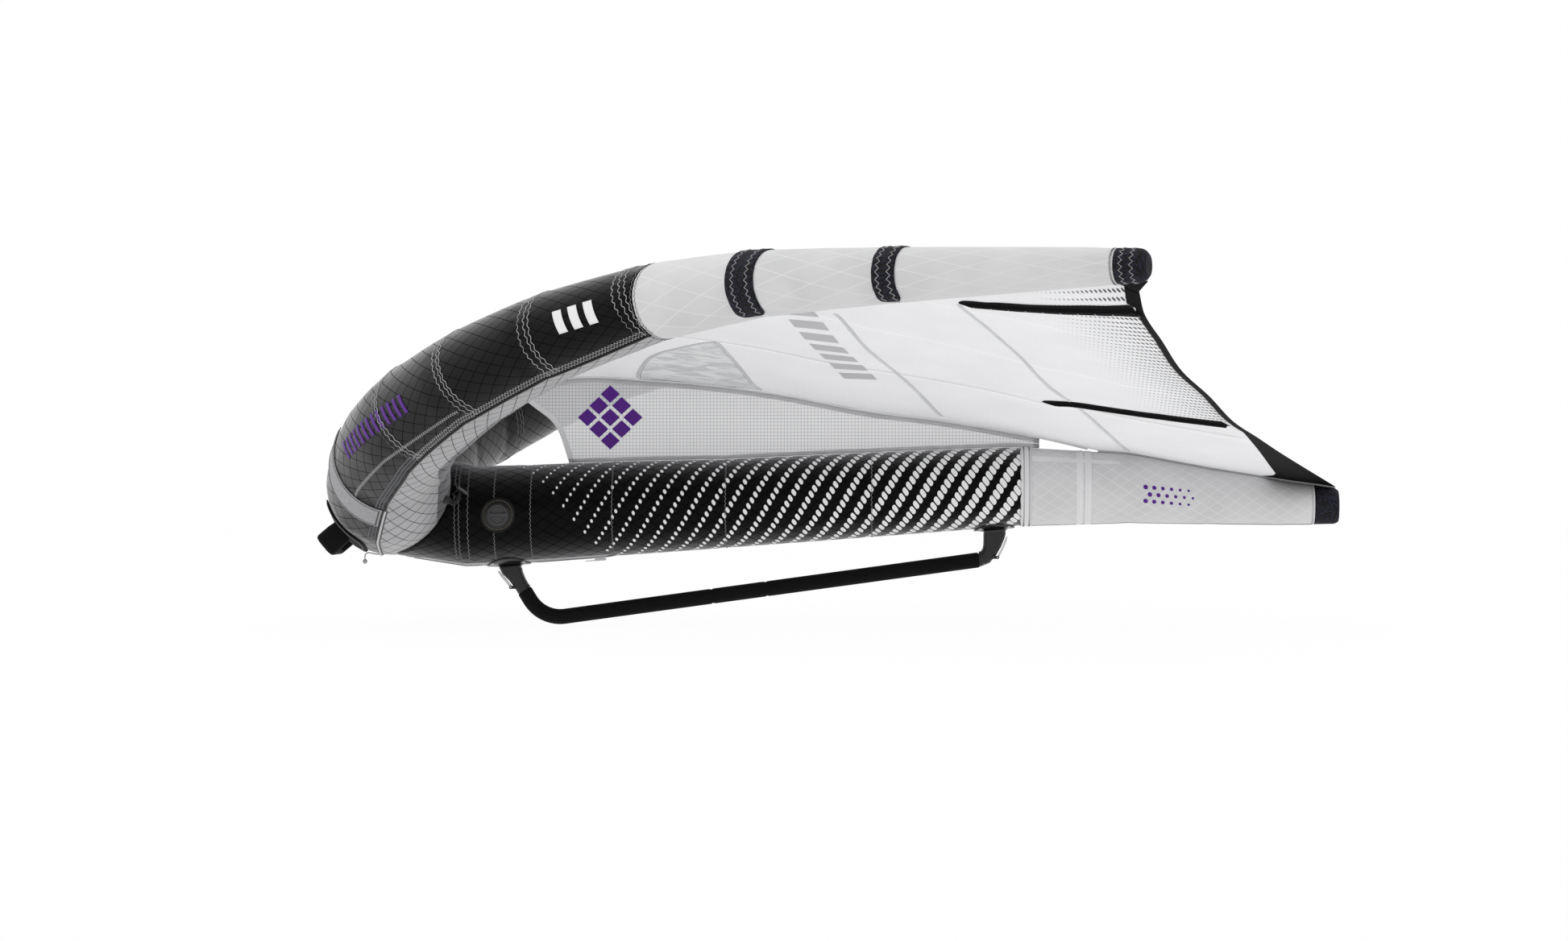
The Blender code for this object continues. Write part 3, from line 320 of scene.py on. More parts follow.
class CanopySkin:
    """The stretched cloth: span from 0 at the strut to 1 at the tip, chord from 0 in front to 1."""

    seam_stand_off = 0.0010

    def __init__(self, tube: LeadingEdgeSkin) -> None:
        """Sews the cloth to a tube.

        Args:
            tube: the leading edge.
        """
        self.tube = tube
        self.start = self.on_seam(0.0)
        self.end = Vector((TRAILING_EDGE[0][1], 0, TRAILING_EDGE[0][2]))

    def on_seam(self, distance: float) -> Vector:
        """A point of the line where the cloth is sewn to the leading edge."""
        return self.tube.point(distance, between(SEAM_ANGLES, distance)[1], self.seam_stand_off)

    def middle_height(self, x: float) -> float:
        """Height of the cloth over the strut.

        Args:
            x: where along the strut.

        Returns:
            The height.
        """
        if x <= MIDLINE[-1][0]:
            return smooth_between(((self.start.x, self.start.z),) + MIDLINE, x)[1]
        _, height, radius = between(STRUT, min(x, TAIL_END))
        return height + radius + CLOTH_ON_STRUT

    def point(self, span: float, chord: float, side: int = 1) -> Vector:
        """A point of the cloth.

        Args:
            span: share of the way from the strut to the tip.
            chord: share of the way from the front to the rear edge.
            side: 1 on the right and -1 on the left.

        Returns:
            The point.
        """
        front = self.on_seam(span * SPAN_ON_TUBE)
        tube_y = between(LEADING_EDGE, span * SPAN_ON_TUBE)[2]
        edge_y = tube_y * TRAILING_EDGE[-1][0] / LEADING_EDGE[-2][2]
        y, x, z = smooth_between(TRAILING_EDGE, edge_y)
        rear = Vector((x, y, z))
        centre = self.start.lerp(self.end, chord)
        rise = self.middle_height(centre.x) - centre.z
        shrink = ((rear.x - front.x) / (self.end.x - self.start.x)) ** CAMBER_POWER
        place = front.lerp(rear, chord)
        place.z += rise * shrink
        place.y *= side
        return place

    def normal(self, span: float, chord: float, side: int = 1) -> Vector:
        """The direction straight up out of the cloth.

        Args:
            span: share of the way from the strut to the tip.
            chord: share of the way from the front to the rear edge.
            side: 1 on the right and -1 on the left.

        Returns:
            The direction.
        """
        step = 0.002
        here = self.point(span, chord, side)
        along = self.point(span + step, chord, side) - here
        aft = self.point(span, chord + step, side) - here
        up = aft.cross(along)
        return (up if up.z > 0 else -up).normalized()

    def chord_at(self, span: float, edge: Curve) -> float:
        """The chord where a seam crosses the cloth.

        Args:
            span: where to look.
            edge: the seam's x for a distance from the middle.

        Returns:
            The chord, 0 or 1 where the seam lies in front or behind.
        """
        def in_front(chord: float) -> bool:
            """Whether the cloth at a chord lies in front of the seam."""
            place = self.point(span, chord)
            return place.x < edge(place.y)

        low, high = turning_point(in_front)
        return (low + high) / 2


TUBE = LeadingEdgeSkin()
BEAM = StrutSkin()
CLOTH = CanopySkin(TUBE)


def linear_colour(code: str) -> tuple[float, float, float, float]:
    """Turns an sRGB hex colour into a linear one.

    Args:
        code: such as #0a0b0c.

    Returns:
        Red, green, blue and an alpha of 1.
    """
    found = []
    for i in (1, 3, 5):
        value = int(code[i : i + 2], 16) / 255
        found.append(value / 12.92 if value <= 0.04045 else ((value + 0.055) / 1.055) ** 2.4)
    return (found[0], found[1], found[2], 1.0)


def add_node(tree: Tree, kind: str, inputs: dict | None = None, **settings: object) -> Node:
    """Adds one shader node with its settings and links.

    Args:
        tree: the material's nodes.
        kind: the node's type, without ShaderNode in front.
        inputs: for a socket's name or number, its value, or the node or socket that feeds it.
        settings: the node's own properties. stops gives a colour ramp's positions and colours.

    Returns:
        The node.
    """
    node = tree.nodes.new("ShaderNode" + kind)
    stops = settings.pop("stops", None)
    for name, value in settings.items():
        setattr(node, name, value)
    if stops:
        ramp = node.color_ramp
        while len(ramp.elements) < len(stops):
            ramp.elements.new(1.0)
        for element, (position, colour) in zip(ramp.elements, stops):
            element.position = position
            element.color = colour
    for key, value in (inputs or {}).items():
        socket = node.inputs[key]
        if isinstance(value, Node):
            value = value.outputs[0]
        if isinstance(value, Socket):
            tree.links.new(value, socket)
        else:
            socket.default_value = value
    return node


@dataclass(frozen=True)
class Finish:
    """A surface finish. Each kind adds its nodes in dress()."""

    name: str
    colour: str
    roughness: float = 0.5
    metallic: float = 0.0
    sheen: float = 0.0
    sheen_roughness: float = 0.4
    specular: float = 0.5
    grain_mm: float = 1.2

    def material(self) -> bpy.types.Material:
        """Makes the material once.

        Returns:
            The material.
        """
        found = bpy.data.materials.get(self.name)
        if found:
            return found
        made = bpy.data.materials.new(self.name)
        made.use_nodes = True
        tree = made.node_tree
        shader = tree.nodes["Principled BSDF"]
        made.diffuse_color = linear_colour(self.colour)
        sockets = {
            "Base Color": linear_colour(self.colour),
            "Roughness": self.roughness,
            "Metallic": self.metallic,
            "Specular IOR Level": self.specular,
            "Sheen Weight": self.sheen,
            "Sheen Roughness": self.sheen_roughness,
        }
        for name, value in sockets.items():
            shader.inputs[name].default_value = value
        self.dress(tree, shader)
        return made

    def dress(self, tree: Tree, shader: Node) -> None:
        """Gives the surface a fine grain in roughness and bump.

        Args:
            tree: the material's nodes.
            shader: its Principled node.
        """
        place = add_node(tree, "TexCoord").outputs["Object"]
        grain = add_node(tree, "TexNoise", {"Vector": place, "Scale": 1000 / self.grain_mm, "Detail": 3.0})
        low, high = self.roughness * 0.88, min(1.0, self.roughness * 1.12)
        rough = add_node(tree, "MapRange", {"Value": grain, "To Min": low, "To Max": high})
        bump = add_node(tree, "Bump", {"Height": grain, "Strength": 0.12, "Distance": 0.0004})
        tree.links.new(rough.outputs[0], shader.inputs["Roughness"])
        tree.links.new(bump.outputs[0], shader.inputs["Normal"])


@dataclass(frozen=True)
class RipstopCloth(Finish):
    """Coated woven polyester with a ripstop grid, on UVs in metres.

    The thicker ripstop threads catch less light than the glossy coating between them, so they read as
    darker diamonds where the cloth shines and nearly vanish where it is in shade. Where bloom is
    given, a pale sheen is painted into the colour where the cloth is seen at a grazing angle.
    """

    line_colour: str = "#050506"
    cell_mm: tuple[float, float] = (17.0, 17.0)  # between threads, along and round the tube
    line_mm: float = 1.5  # the thread is 0.5 mm, drawn wider so that it shows
    slant: float = 45.0
    line_depth: float = 0.25
    dull_threads: bool = False
    weave_bump: float = 0.25
    translucent: float = 0.0
    clear: float = 0.0
    cloudy: float = 0.10  # how much darker its cloudy patches are
    bloom: str = ""  # painted sheen: colour mixed into the coating's colour where it is seen at a grazing angle
    bloom_power: float = 4.8  # the higher, the narrower the rim of painted sheen

    def lines(self, tree: Tree) -> Node:
        """The ripstop threads.

        Args:
            tree: the material's nodes.

        Returns:
            The node that is 1 on a thread and 0 between.
        """
        place = add_node(tree, "UVMap", uv_map="metres")
        stretch = (1000 / self.cell_mm[0], 1000 / self.cell_mm[1], 1.0)
        slant = (0, 0, math.radians(self.slant))
        turned = add_node(tree, "Mapping", {"Vector": place, "Scale": stretch, "Rotation": slant})
        return add_node(
            tree,
            "TexBrick",
            {
                "Vector": turned,
                "Color1": (0, 0, 0, 1),
                "Color2": (0, 0, 0, 1),
                "Mortar": (1, 1, 1, 1),
                "Scale": 1.0,
                "Mortar Size": self.line_mm / sum(self.cell_mm),
                "Mortar Smooth": 0.3,
                "Brick Width": 1.0,
                "Row Height": 1.0,
            },
            offset=0.0,
        )

    def pattern(self, tree: Tree) -> tuple[Socket, Node]:
        """The cloth's colour with its threads and a slight cloudiness.

        Args:
            tree: the material's nodes.

        Returns:
            The colour's socket, and the node that is 1 on a thread.
        """
        lines = self.lines(tree)
        place = add_node(tree, "TexCoord").outputs["Object"]
        cloud = add_node(tree, "TexNoise", {"Vector": place, "Scale": 9.0, "Detail": 4.0})
        base = linear_colour(self.colour)
        dark = tuple(c * (1 - self.cloudy) for c in base[:3]) + (1.0,)
        ground = add_node(tree, "ValToRGB", {"Fac": cloud}, stops=[(0.35, dark), (0.65, base)])
        threads = linear_colour(self.line_colour)
        mixed = add_node(tree, "Mix", {"Factor": lines, 6: ground, 7: threads}, data_type="RGBA")
        return mixed.outputs[2], lines

    def covered(self, tree: Tree) -> float | Node:
        """Where ink covers the coating: nowhere on plain cloth."""
        return 0.0

    def dress(self, tree: Tree, shader: Node) -> None:
        """Weave, threads and coating.

        Args:
            tree: the material's nodes.
            shader: its Principled node.
        """
        colour, lines = self.pattern(tree)
        # Painted sheen: where the cloth is seen at a grazing angle its colour is mixed towards bloom,
        # except where ink covers it.
        if self.bloom:
            facing = add_node(tree, "LayerWeight", {"Blend": 0.5}).outputs["Facing"]
            edge = add_node(tree, "Math", {0: facing, 1: self.bloom_power}, operation="POWER")
            bare = add_node(tree, "Math", {0: 1.0, 1: self.covered(tree)}, operation="SUBTRACT")
            share = add_node(tree, "Math", {0: edge, 1: bare}, operation="MULTIPLY")
            inputs = {"Factor": share, 6: colour, 7: linear_colour(self.bloom)}
            colour = add_node(tree, "Mix", inputs, data_type="RGBA").outputs[2]
        tree.links.new(colour, shader.inputs["Base Color"])
        place = add_node(tree, "TexCoord").outputs["Object"]
        weave = add_node(tree, "TexNoise", {"Vector": place, "Scale": 1000 / self.grain_mm, "Detail": 2.0})
        low, high = self.roughness - 0.08, self.roughness + 0.08
        rough = add_node(tree, "MapRange", {"Value": weave, "To Min": low, "To Max": high})
        rougher = add_node(tree, "Math", {0: lines, 1: self.line_depth, 2: rough}, operation="MULTIPLY_ADD")
        tree.links.new(rougher.outputs[0], shader.inputs["Roughness"])
        height = add_node(tree, "Math", {0: lines, 1: -0.6, 2: weave}, operation="MULTIPLY_ADD")
        bump = add_node(tree, "Bump", {"Height": height, "Strength": self.weave_bump, "Distance": 0.00018})
        tree.links.new(bump.outputs[0], shader.inputs["Normal"])
        surface = shader
        if self.dull_threads:
            matt = {"Roughness": 0.9, "Specular IOR Level": 0.02}
            thread = add_node(
                tree, "BsdfPrincipled", {"Base Color": linear_colour(self.line_colour), **matt}
            )
            surface = add_node(tree, "MixShader", {0: lines, 1: shader, 2: thread})
        if self.translucent:
            behind = add_node(tree, "BsdfTranslucent", {"Color": colour, "Normal": bump})
            surface = add_node(tree, "MixShader", {0: self.translucent, 1: surface, 2: behind})
        if self.clear:
            through = add_node(tree, "BsdfTransparent", {"Color": (1, 1, 1, 1)})
            surface = add_node(tree, "MixShader", {0: self.clear, 1: surface, 2: through})
        tree.links.new(surface.outputs[0], tree.nodes["Material Output"].inputs["Surface"])


@dataclass(frozen=True)
class PrintedCloth(RipstopCloth):
    """Ripstop cloth with screen printed bars in slanting rows that grow from dots towards the tail.

    UVs are x and the arc up from the bottom line, so both sides carry the same rows.
    """

    ink: str = "#e4e4e4"
    first: Point = (-0.5043, 0.1574)  # middle of one of the dots that open the rows
    row_step: Point = (0.0202, -0.0275)  # from there to the opening dot of the next row
    dot_step: Point = (0.0066, 0.0106)  # from dot to dot up a row
    small_mm: Point = (2.5, 2.4)  # half length and half width at the front
    large_mm: Point = (10.2, 5.5)
    grows: Point = (-0.58, 0.374)

    def pattern(self, tree: Tree) -> tuple[Socket, Node]:
        """The cloth's colour with the print over it.

        Args:
            tree: the material's nodes.

        Returns:
            The colour's socket, and the node that is 1 on a bare thread.
        """
        ground, lines = super().pattern(tree)
        place = add_node(tree, "UVMap", uv_map="metres")
        apart = add_node(tree, "SeparateXYZ", {0: place})
        x = add_node(tree, "Math", {0: apart.outputs[0], 1: self.first[0]}, operation="SUBTRACT")
        w = add_node(tree, "Math", {0: apart.outputs[1], 1: self.first[1]}, operation="SUBTRACT")
        (ax, aw), (bx, bw) = self.row_step, self.dot_step
        area = ax * bw - aw * bx
        across = self.lattice(tree, x, w, bw / area, -bx / area)
        along = self.lattice(tree, x, w, -aw / area, ax / area)
        begin, end = self.grows
        share = add_node(tree, "MapRange", {"Value": apart.outputs[0], "From Min": begin, "From Max": end})
        cells = ((across, self.row_step), (along, self.dot_step))
        inside = []
        for (cell, step), small, large in zip(cells, self.small_mm, self.large_mm):
            sizes = {"Value": share, "To Min": small / 1000, "To Max": large / 1000}
            reach = add_node(tree, "MapRange", sizes)
            whole = add_node(tree, "Math", {0: cell}, operation="ROUND")
            rest = add_node(tree, "Math", {0: cell, 1: whole}, operation="SUBTRACT")
            size = add_node(tree, "Math", {0: rest, 1: math.hypot(*step)}, operation="MULTIPLY")
            away = add_node(tree, "Math", {0: size}, operation="ABSOLUTE")
            inside.append((whole, away, reach))
        corner = inside[1][2]
        squares = []
        for _, away, reach in inside:
            past = add_node(tree, "Math", {0: away, 1: reach}, operation="SUBTRACT")
            shifted = add_node(tree, "Math", {0: past, 1: corner}, operation="ADD")
            outside = add_node(tree, "Math", {0: shifted, 1: 0.0}, operation="MAXIMUM")
            squares.append(add_node(tree, "Math", {0: outside, 1: 2.0}, operation="POWER"))
        total = add_node(tree, "Math", {0: squares[0], 1: squares[1]}, operation="ADD")
        far = add_node(tree, "Math", {0: total}, operation="SQRT")
        edge = add_node(tree, "Math", {0: corner, 1: far}, operation="SUBTRACT")
        printed = add_node(tree, "MapRange", {"Value": edge, "From Min": -0.0001, "From Max": 0.0003})
        begun = add_node(tree, "Math", {0: inside[1][0], 1: -0.5}, operation="GREATER_THAN")
        mask = add_node(tree, "Math", {0: printed, 1: begun}, operation="MULTIPLY")
        inputs = {"Factor": mask, 6: ground, 7: linear_colour(self.ink)}
        mixed = add_node(tree, "Mix", inputs, data_type="RGBA")
        mask.label = "printed"
        bare = add_node(tree, "Math", {0: 1.0, 1: mask}, operation="SUBTRACT")
        return mixed.outputs[2], add_node(tree, "Math", {0: lines, 1: bare}, operation="MULTIPLY")

    def covered(self, tree: Tree) -> float | Node:
        """Where ink covers the coating."""
        return next(node for node in tree.nodes if node.label == "printed")

    def lattice(self, tree: Tree, x: Node, w: Node, by_x: float, by_w: float) -> Node:
        """One coordinate of the print's slanting grid.

        Args:
            tree: the material's nodes.
            x: distance aft of the first dot.
            w: arc up from the first dot.
            by_x: cells for each metre aft.
            by_w: cells for each metre up.

        Returns:
            The node that gives the coordinate in cells.
        """
        part = add_node(tree, "Math", {0: w, 1: by_w}, operation="MULTIPLY")
        return add_node(tree, "Math", {0: x, 1: by_x, 2: part}, operation="MULTIPLY_ADD")


@dataclass(frozen=True)
class DottedCloth(RipstopCloth):
    """Canopy cloth with rows of small printed dots that grow towards the rear edge.

    UVs are x and the distance from the middle line.
    """

    ink: str = "#626264"
    row_angle: float = 28.0
    step: Point = (0.0080, 0.0245)  # along a row and from row to row
    size: Point = (0.0029, 0.0080)  # half sizes of the largest dots
    lean: float = 0.27  # the rear edge moves forward by this share of the distance out
    grows: Point = (0.700, 0.925)
    first_row: float = 0.216

    def pattern(self, tree: Tree) -> tuple[Socket, Node]:
        """The cloth's colour with its dots.

        Args:
            tree: the material's nodes.

        Returns:
            The colour's socket, and the node that is 1 on a thread.
        """
        ground, lines = super().pattern(tree)
        place = add_node(tree, "UVMap", uv_map="metres")
        apart = add_node(tree, "SeparateXYZ", {0: place})
        x, y = apart.outputs[0], apart.outputs[1]
        turn = math.radians(self.row_angle)
        part = add_node(tree, "Math", {0: y, 1: math.sin(turn)}, operation="MULTIPLY")
        along = add_node(tree, "Math", {0: x, 1: math.cos(turn), 2: part}, operation="MULTIPLY_ADD")
        part = add_node(tree, "Math", {0: y, 1: math.cos(turn)}, operation="MULTIPLY")
        across = add_node(tree, "Math", {0: x, 1: -math.sin(turn), 2: part}, operation="MULTIPLY_ADD")
        row = add_node(tree, "Math", {0: across, 1: 1 / self.step[1]}, operation="MULTIPLY")
        row_number = add_node(tree, "Math", {0: row}, operation="ROUND")
        off_row = add_node(tree, "Math", {0: row, 1: row_number}, operation="SUBTRACT")
        shifted = add_node(tree, "Math", {0: row_number, 1: 0.5}, operation="MULTIPLY")
        cell = add_node(tree, "Math", {0: along, 1: 1 / self.step[0], 2: shifted}, operation="MULTIPLY_ADD")
        whole = add_node(tree, "Math", {0: cell}, operation="ROUND")
        off_dot = add_node(tree, "Math", {0: cell, 1: whole}, operation="SUBTRACT")
        squares = []
        for off, step, size in zip((off_dot, off_row), self.step, self.size):
            scaled = add_node(tree, "Math", {0: off, 1: step / size}, operation="MULTIPLY")
            squares.append(add_node(tree, "Math", {0: scaled, 1: scaled}, operation="MULTIPLY"))
        total = add_node(tree, "Math", {0: squares[0], 1: squares[1]}, operation="ADD")
        far = add_node(tree, "Math", {0: total}, operation="SQRT")
        aft = add_node(tree, "Math", {0: y, 1: self.lean, 2: x}, operation="MULTIPLY_ADD")
        begin, end = self.grows
        share = add_node(tree, "MapRange", {"Value": aft, "From Min": begin, "From Max": end})
        inside = add_node(tree, "Math", {0: share, 1: far}, operation="SUBTRACT")
        soft = add_node(tree, "MapRange", {"Value": inside, "From Min": -0.03, "From Max": 0.10})
        begun = add_node(tree, "Math", {0: across, 1: self.first_row}, operation="GREATER_THAN")
        mask = add_node(tree, "Math", {0: soft, 1: begun}, operation="MULTIPLY")
        inputs = {"Factor": mask, 6: ground, 7: linear_colour(self.ink)}
        mixed = add_node(tree, "Mix", inputs, data_type="RGBA")
        return mixed.outputs[2], lines


@dataclass(frozen=True)
class CoarseWeave(Finish):
    """Woven tape or abrasion cloth whose yarns show, on UVs in metres."""

    fleck: str = "#2b2b3d"
    gap: str = "#060607"
    yarn_mm: tuple[float, float] = (3.2, 1.7)
    turn: float = 0.0
    relief: float = 0.5

    def dress(self, tree: Tree, shader: Node) -> None:
        """Yarns over and under, some of them of another shade.

        Args:
            tree: the material's nodes.
            shader: its Principled node.
        """
        place = add_node(tree, "UVMap", uv_map="metres")
        turned = add_node(tree, "Mapping", {"Vector": place, "Rotation": (0, 0, math.radians(self.turn))})
        yarns = add_node(
            tree,
            "TexBrick",
            {
                "Vector": turned,
                "Color1": linear_colour(self.colour),
                "Color2": linear_colour(self.fleck),
                "Mortar": linear_colour(self.gap),
                "Scale": 1.0,
                "Mortar Size": self.yarn_mm[1] / 9000,
                "Mortar Smooth": 0.6,
                "Bias": -0.35,
                "Brick Width": self.yarn_mm[0] / 1000,
                "Row Height": self.yarn_mm[1] / 1000,
            },
            offset=0.5,
        )
        tree.links.new(yarns.outputs["Color"], shader.inputs["Base Color"])
        raised = add_node(tree, "Math", {0: 1.0, 1: yarns.outputs["Fac"]}, operation="SUBTRACT")
        bump = add_node(tree, "Bump", {"Height": raised, "Strength": self.relief, "Distance": 0.0006})
        tree.links.new(bump.outputs[0], shader.inputs["Normal"])


@dataclass(frozen=True)
class CrinkledFilm(Finish):
    """Laminated window film with the fine creases of folding."""

    clear: float = 0.25
    glow: float = 0.35
    # grey painted into the colour along the creases, as their shade
    crease: str = "#d2d3d6"

    def dress(self, tree: Tree, shader: Node) -> None:
        """Creases, clearness and the light from behind.

        Args:
            tree: the material's nodes.
            shader: its Principled node.
        """
        place = add_node(tree, "TexCoord").outputs["Object"]
        across = {"Vector": place, "Scale": (16.0, 34.0, 20.0), "Rotation": (0, 0, 0.9)}
        drawn = add_node(tree, "Mapping", across)
        folds = {"Vector": drawn, "Scale": 1.0, "Detail": 5.0, "Distortion": 1.4}
        crease = add_node(tree, "TexNoise", folds)
        sharp = add_node(tree, "MapRange", {"Value": crease, "From Min": 0.42, "From Max": 0.60})
        bump = add_node(tree, "Bump", {"Height": sharp, "Strength": 0.55, "Distance": 0.0030})
        tree.links.new(bump.outputs[0], shader.inputs["Normal"])
        # Painted shade: the creases are tinted grey in the colour, for the light they catch.
        stops = [(0.40, linear_colour(self.crease)), (0.56, linear_colour(self.colour))]
        tint = add_node(tree, "ValToRGB", {"Fac": crease}, stops=stops)
        tree.links.new(tint.outputs[0], shader.inputs["Base Color"])
        behind = add_node(tree, "BsdfTranslucent", {"Color": tint, "Normal": bump})
        lit = add_node(tree, "MixShader", {0: self.glow, 1: shader, 2: behind})
        through = add_node(tree, "BsdfTransparent", {"Color": (1, 1, 1, 1)})
        both = add_node(tree, "MixShader", {0: self.clear, 1: lit, 2: through})
        tree.links.new(both.outputs[0], tree.nodes["Material Output"].inputs["Surface"])


# Coated polyester, calendered: dark, with a broad satin sheen towards its edges that is painted into its
# colour as a pale grey at grazing angles (bloom). The ripstop threads lie sunk between the coated
# cells and stay dull, so they show as dark diamonds wherever the cloth shines.
BLACK_CLOTH = RipstopCloth(
    "coated_polyester_black", "#0b0b0c", roughness=0.36, sheen=0.03, sheen_roughness=0.35,
    specular=0.05, bloom="#ababad", grain_mm=1.6, cell_mm=(33.0, 17.0), dull_threads=True, weave_bump=0.5,
)
# The same cloth in grey, as a panel under the piping.
GREY_CLOTH = RipstopCloth(
    "coated_polyester_grey", "#9c9c9e", line_colour="#2e2e30", roughness=0.5, sheen=0.2,
    grain_mm=1.4, cell_mm=(33.0, 17.0), line_mm=2.2, weave_bump=0.35,
)
# Light cloth of the outer tubes: pale, nearly matt, with large faint diamonds a little lighter than it.
LIGHT_CLOTH = RipstopCloth(
    "coated_polyester_light", "#cdcdce", line_colour="#d5d5d6", roughness=0.55, sheen=0.1,
    grain_mm=1.6, cell_mm=(78.0, 40.0), line_mm=3.0, line_depth=0.05,
)
STRUT_LIGHT_CLOTH = RipstopCloth(
    "coated_polyester_strut_light", "#cfcfd0", line_colour="#d9d9da", roughness=0.55, sheen=0.1,
    grain_mm=1.6, cell_mm=(24.0, 17.0), line_mm=1.4, line_depth=0.05,
)
# The black cloth again with its print, and a wider rim of painted sheen, because the strut is a tighter
# tube.
PRINTED_CLOTH = PrintedCloth(
    "coated_polyester_printed", "#0b0b0c", roughness=0.36, sheen=0.03, sheen_roughness=0.35,
    specular=0.05, bloom="#ababad", bloom_power=2.6, grain_mm=1.6, cell_mm=(24.0, 16.0),
    dull_threads=True, weave_bump=0.5,
)
# Spinnaker ripstop: thin white nylon with single threads 14 mm apart, glowing when lit from behind.
CANOPY_CLOTH = DottedCloth(
    "ripstop_nylon_white", "#f5f5f6", line_colour="#ffffff", cloudy=0.025, roughness=0.6, sheen=0.05,
    grain_mm=1.8, cell_mm=(13.0, 400.0), line_mm=2.6, slant=0.0, line_depth=0.02, translucent=0.50,
    clear=0.05,
)
# Panel cloth: a thin grey ripstop with a fine square grid.
PANEL_CLOTH = RipstopCloth(
    "ripstop_nylon_grey", "#f8f8f9", line_colour="#c6c6c8", cloudy=0.03, roughness=0.6, grain_mm=1.5,
    cell_mm=(6.5, 6.5), line_mm=1.3, slant=0.0, line_depth=0.04, translucent=0.45, clear=0.38,
)
# Reinforcing tape of the same nylon, folded double, so it is a shade darker against the light.
SEAM_TAPE = RipstopCloth(
    "ripstop_tape_grey", "#f2f2f3", line_colour="#e2e2e4", roughness=0.6, cell_mm=(5.0, 5.0), line_mm=1.0,
    slant=0.0, translucent=0.62, clear=0.30,
)
# Folded polyester tape: opaque, off-white and dry.
HEM_CLOTH = RipstopCloth(
    "polyester_hem_white", "#e2e2e3", line_colour="#d2d2d3", roughness=0.6, cell_mm=(5.0, 5.0),
    line_mm=1.0, slant=0.0,
)
# Black binding cloth: close woven, matt, nearly without a highlight.
EDGE_CLOTH = RipstopCloth(
    "polyester_edge_black", "#0b0b0c", line_colour="#161618", roughness=0.75, specular=0.10,
    cell_mm=(4.0, 4.0), line_mm=0.8,
)
# Stretched abrasion cloth: coarse dark yarns, every few of them blue-grey.
BAND_WEAVE = CoarseWeave(
    "abrasion_weave_dark", "#111114", roughness=0.75, specular=0.2, fleck="#34344a", yarn_mm=(4.4, 2.4),
)
# Woven webbing: matt grey with a fine slanting rib.
WEBBING = CoarseWeave(
    "woven_webbing_grey", "#a5a5a7", roughness=0.8, fleck="#8b8b8d", gap="#6a6a6c", yarn_mm=(5.0, 2.0),
    turn=28.0,
)
# Keel tape: a plain grey tape pulled tight along the bottom seam, with darker cloudy patches.
KEEL_TAPE = RipstopCloth(
    "polyester_keel_tape", "#b9b9bb", line_colour="#98989b", cloudy=0.25, roughness=0.6,
    cell_mm=(6.0, 6.0), line_mm=1.2, slant=0.0,
)
# Bonded polyester thread: smooth and dry, with a slight gloss.
CANOPY_THREAD = Finish("bonded_thread_light", "#f0f0f1", roughness=0.6, grain_mm=0.8)
THREAD = Finish("bonded_thread_grey", "#a2a2a3", roughness=0.6, grain_mm=0.8)
DULL_THREAD = Finish("bonded_thread_dull", "#77777a", roughness=0.6, grain_mm=0.8)
DARK_THREAD = Finish("bonded_thread_dark", "#2a2a2c", roughness=0.6, grain_mm=0.8)
BROWN_THREAD = Finish("bonded_thread_brown", "#6f675a", roughness=0.65, grain_mm=0.8)
# Piping: a cord wrapped in the coated cloth, which catches a thin line of light.
PIPING = Finish("welted_piping_black", "#0d0d0e", roughness=0.45, specular=0.3)
PALE_PIPING = Finish("welted_piping_grey", "#b4b4b6", roughness=0.5)
# Closed cell EVA foam, cut and skinned: dead matt with a fine pore.
FOAM = Finish("eva_foam_black", "#0e0e0f", roughness=0.9, specular=0.12, sheen=0.05, grain_mm=0.9)
# Glass filled nylon, moulded with a fine spark texture: satin, dark grey.
NYLON = Finish("moulded_nylon_dark", "#161617", roughness=0.38, specular=0.35, grain_mm=1.1)
# Acetal, moulded light grey: a tighter, waxy gloss. Its light grey is partly the latches' own colour and
# partly a painted highlight, for the bright rim along the boom mounts.
LATCH_PLASTIC_AND_HIGHLIGHT = Finish("moulded_acetal_light", "#d0d0d2", roughness=0.35, grain_mm=1.3)
# Extruded rubber: dull black, with a soft wide highlight along the hose.
RUBBER = Finish("extruded_rubber_black", "#161618", roughness=0.55, specular=0.3, grain_mm=1.0)
# Stainless steel, tumbled: bright, with a soft blurred reflection.
STEEL = Finish("stainless_steel_brushed", "#b4b4b6", roughness=0.3, metallic=1.0, grain_mm=0.7)
# Elastic in a braided sleeve: fuzzy and matt.
CORD_BRAID = Finish("braided_elastic_grey", "#a8a8aa", roughness=0.75, grain_mm=0.7)
# The moulded nylon in a lighter grey, rubbed matt by hands.
VALVE_GREY = Finish("moulded_nylon_grey", "#363638", roughness=0.45, specular=0.4)
# Polished tool face: the same nylon with a gloss that draws bright lines along its flare.
GLOSSY_NYLON = Finish("moulded_nylon_gloss", "#101011", roughness=0.22, specular=0.5)
# Acetal bead: plain grey with a soft gloss.
BEAD_PLASTIC = Finish("moulded_bead_grey", "#9d9d9f", roughness=0.45)
# Polyurethane film, welded: glossy and slightly blue.
BLADDER = Finish("polyurethane_film", "#b7b9c0", roughness=0.3)
# Window laminate: clear film over a scrim, with grey painted into its colour along the creases for the
# light they catch.
FILM = CrinkledFilm("laminated_window_film", "#eceded", roughness=0.22)
# Carbon tube, sanded and lacquered: black with a tight gloss.
CARBON = Finish("carbon_tube_laminate", "#141416", roughness=0.35)
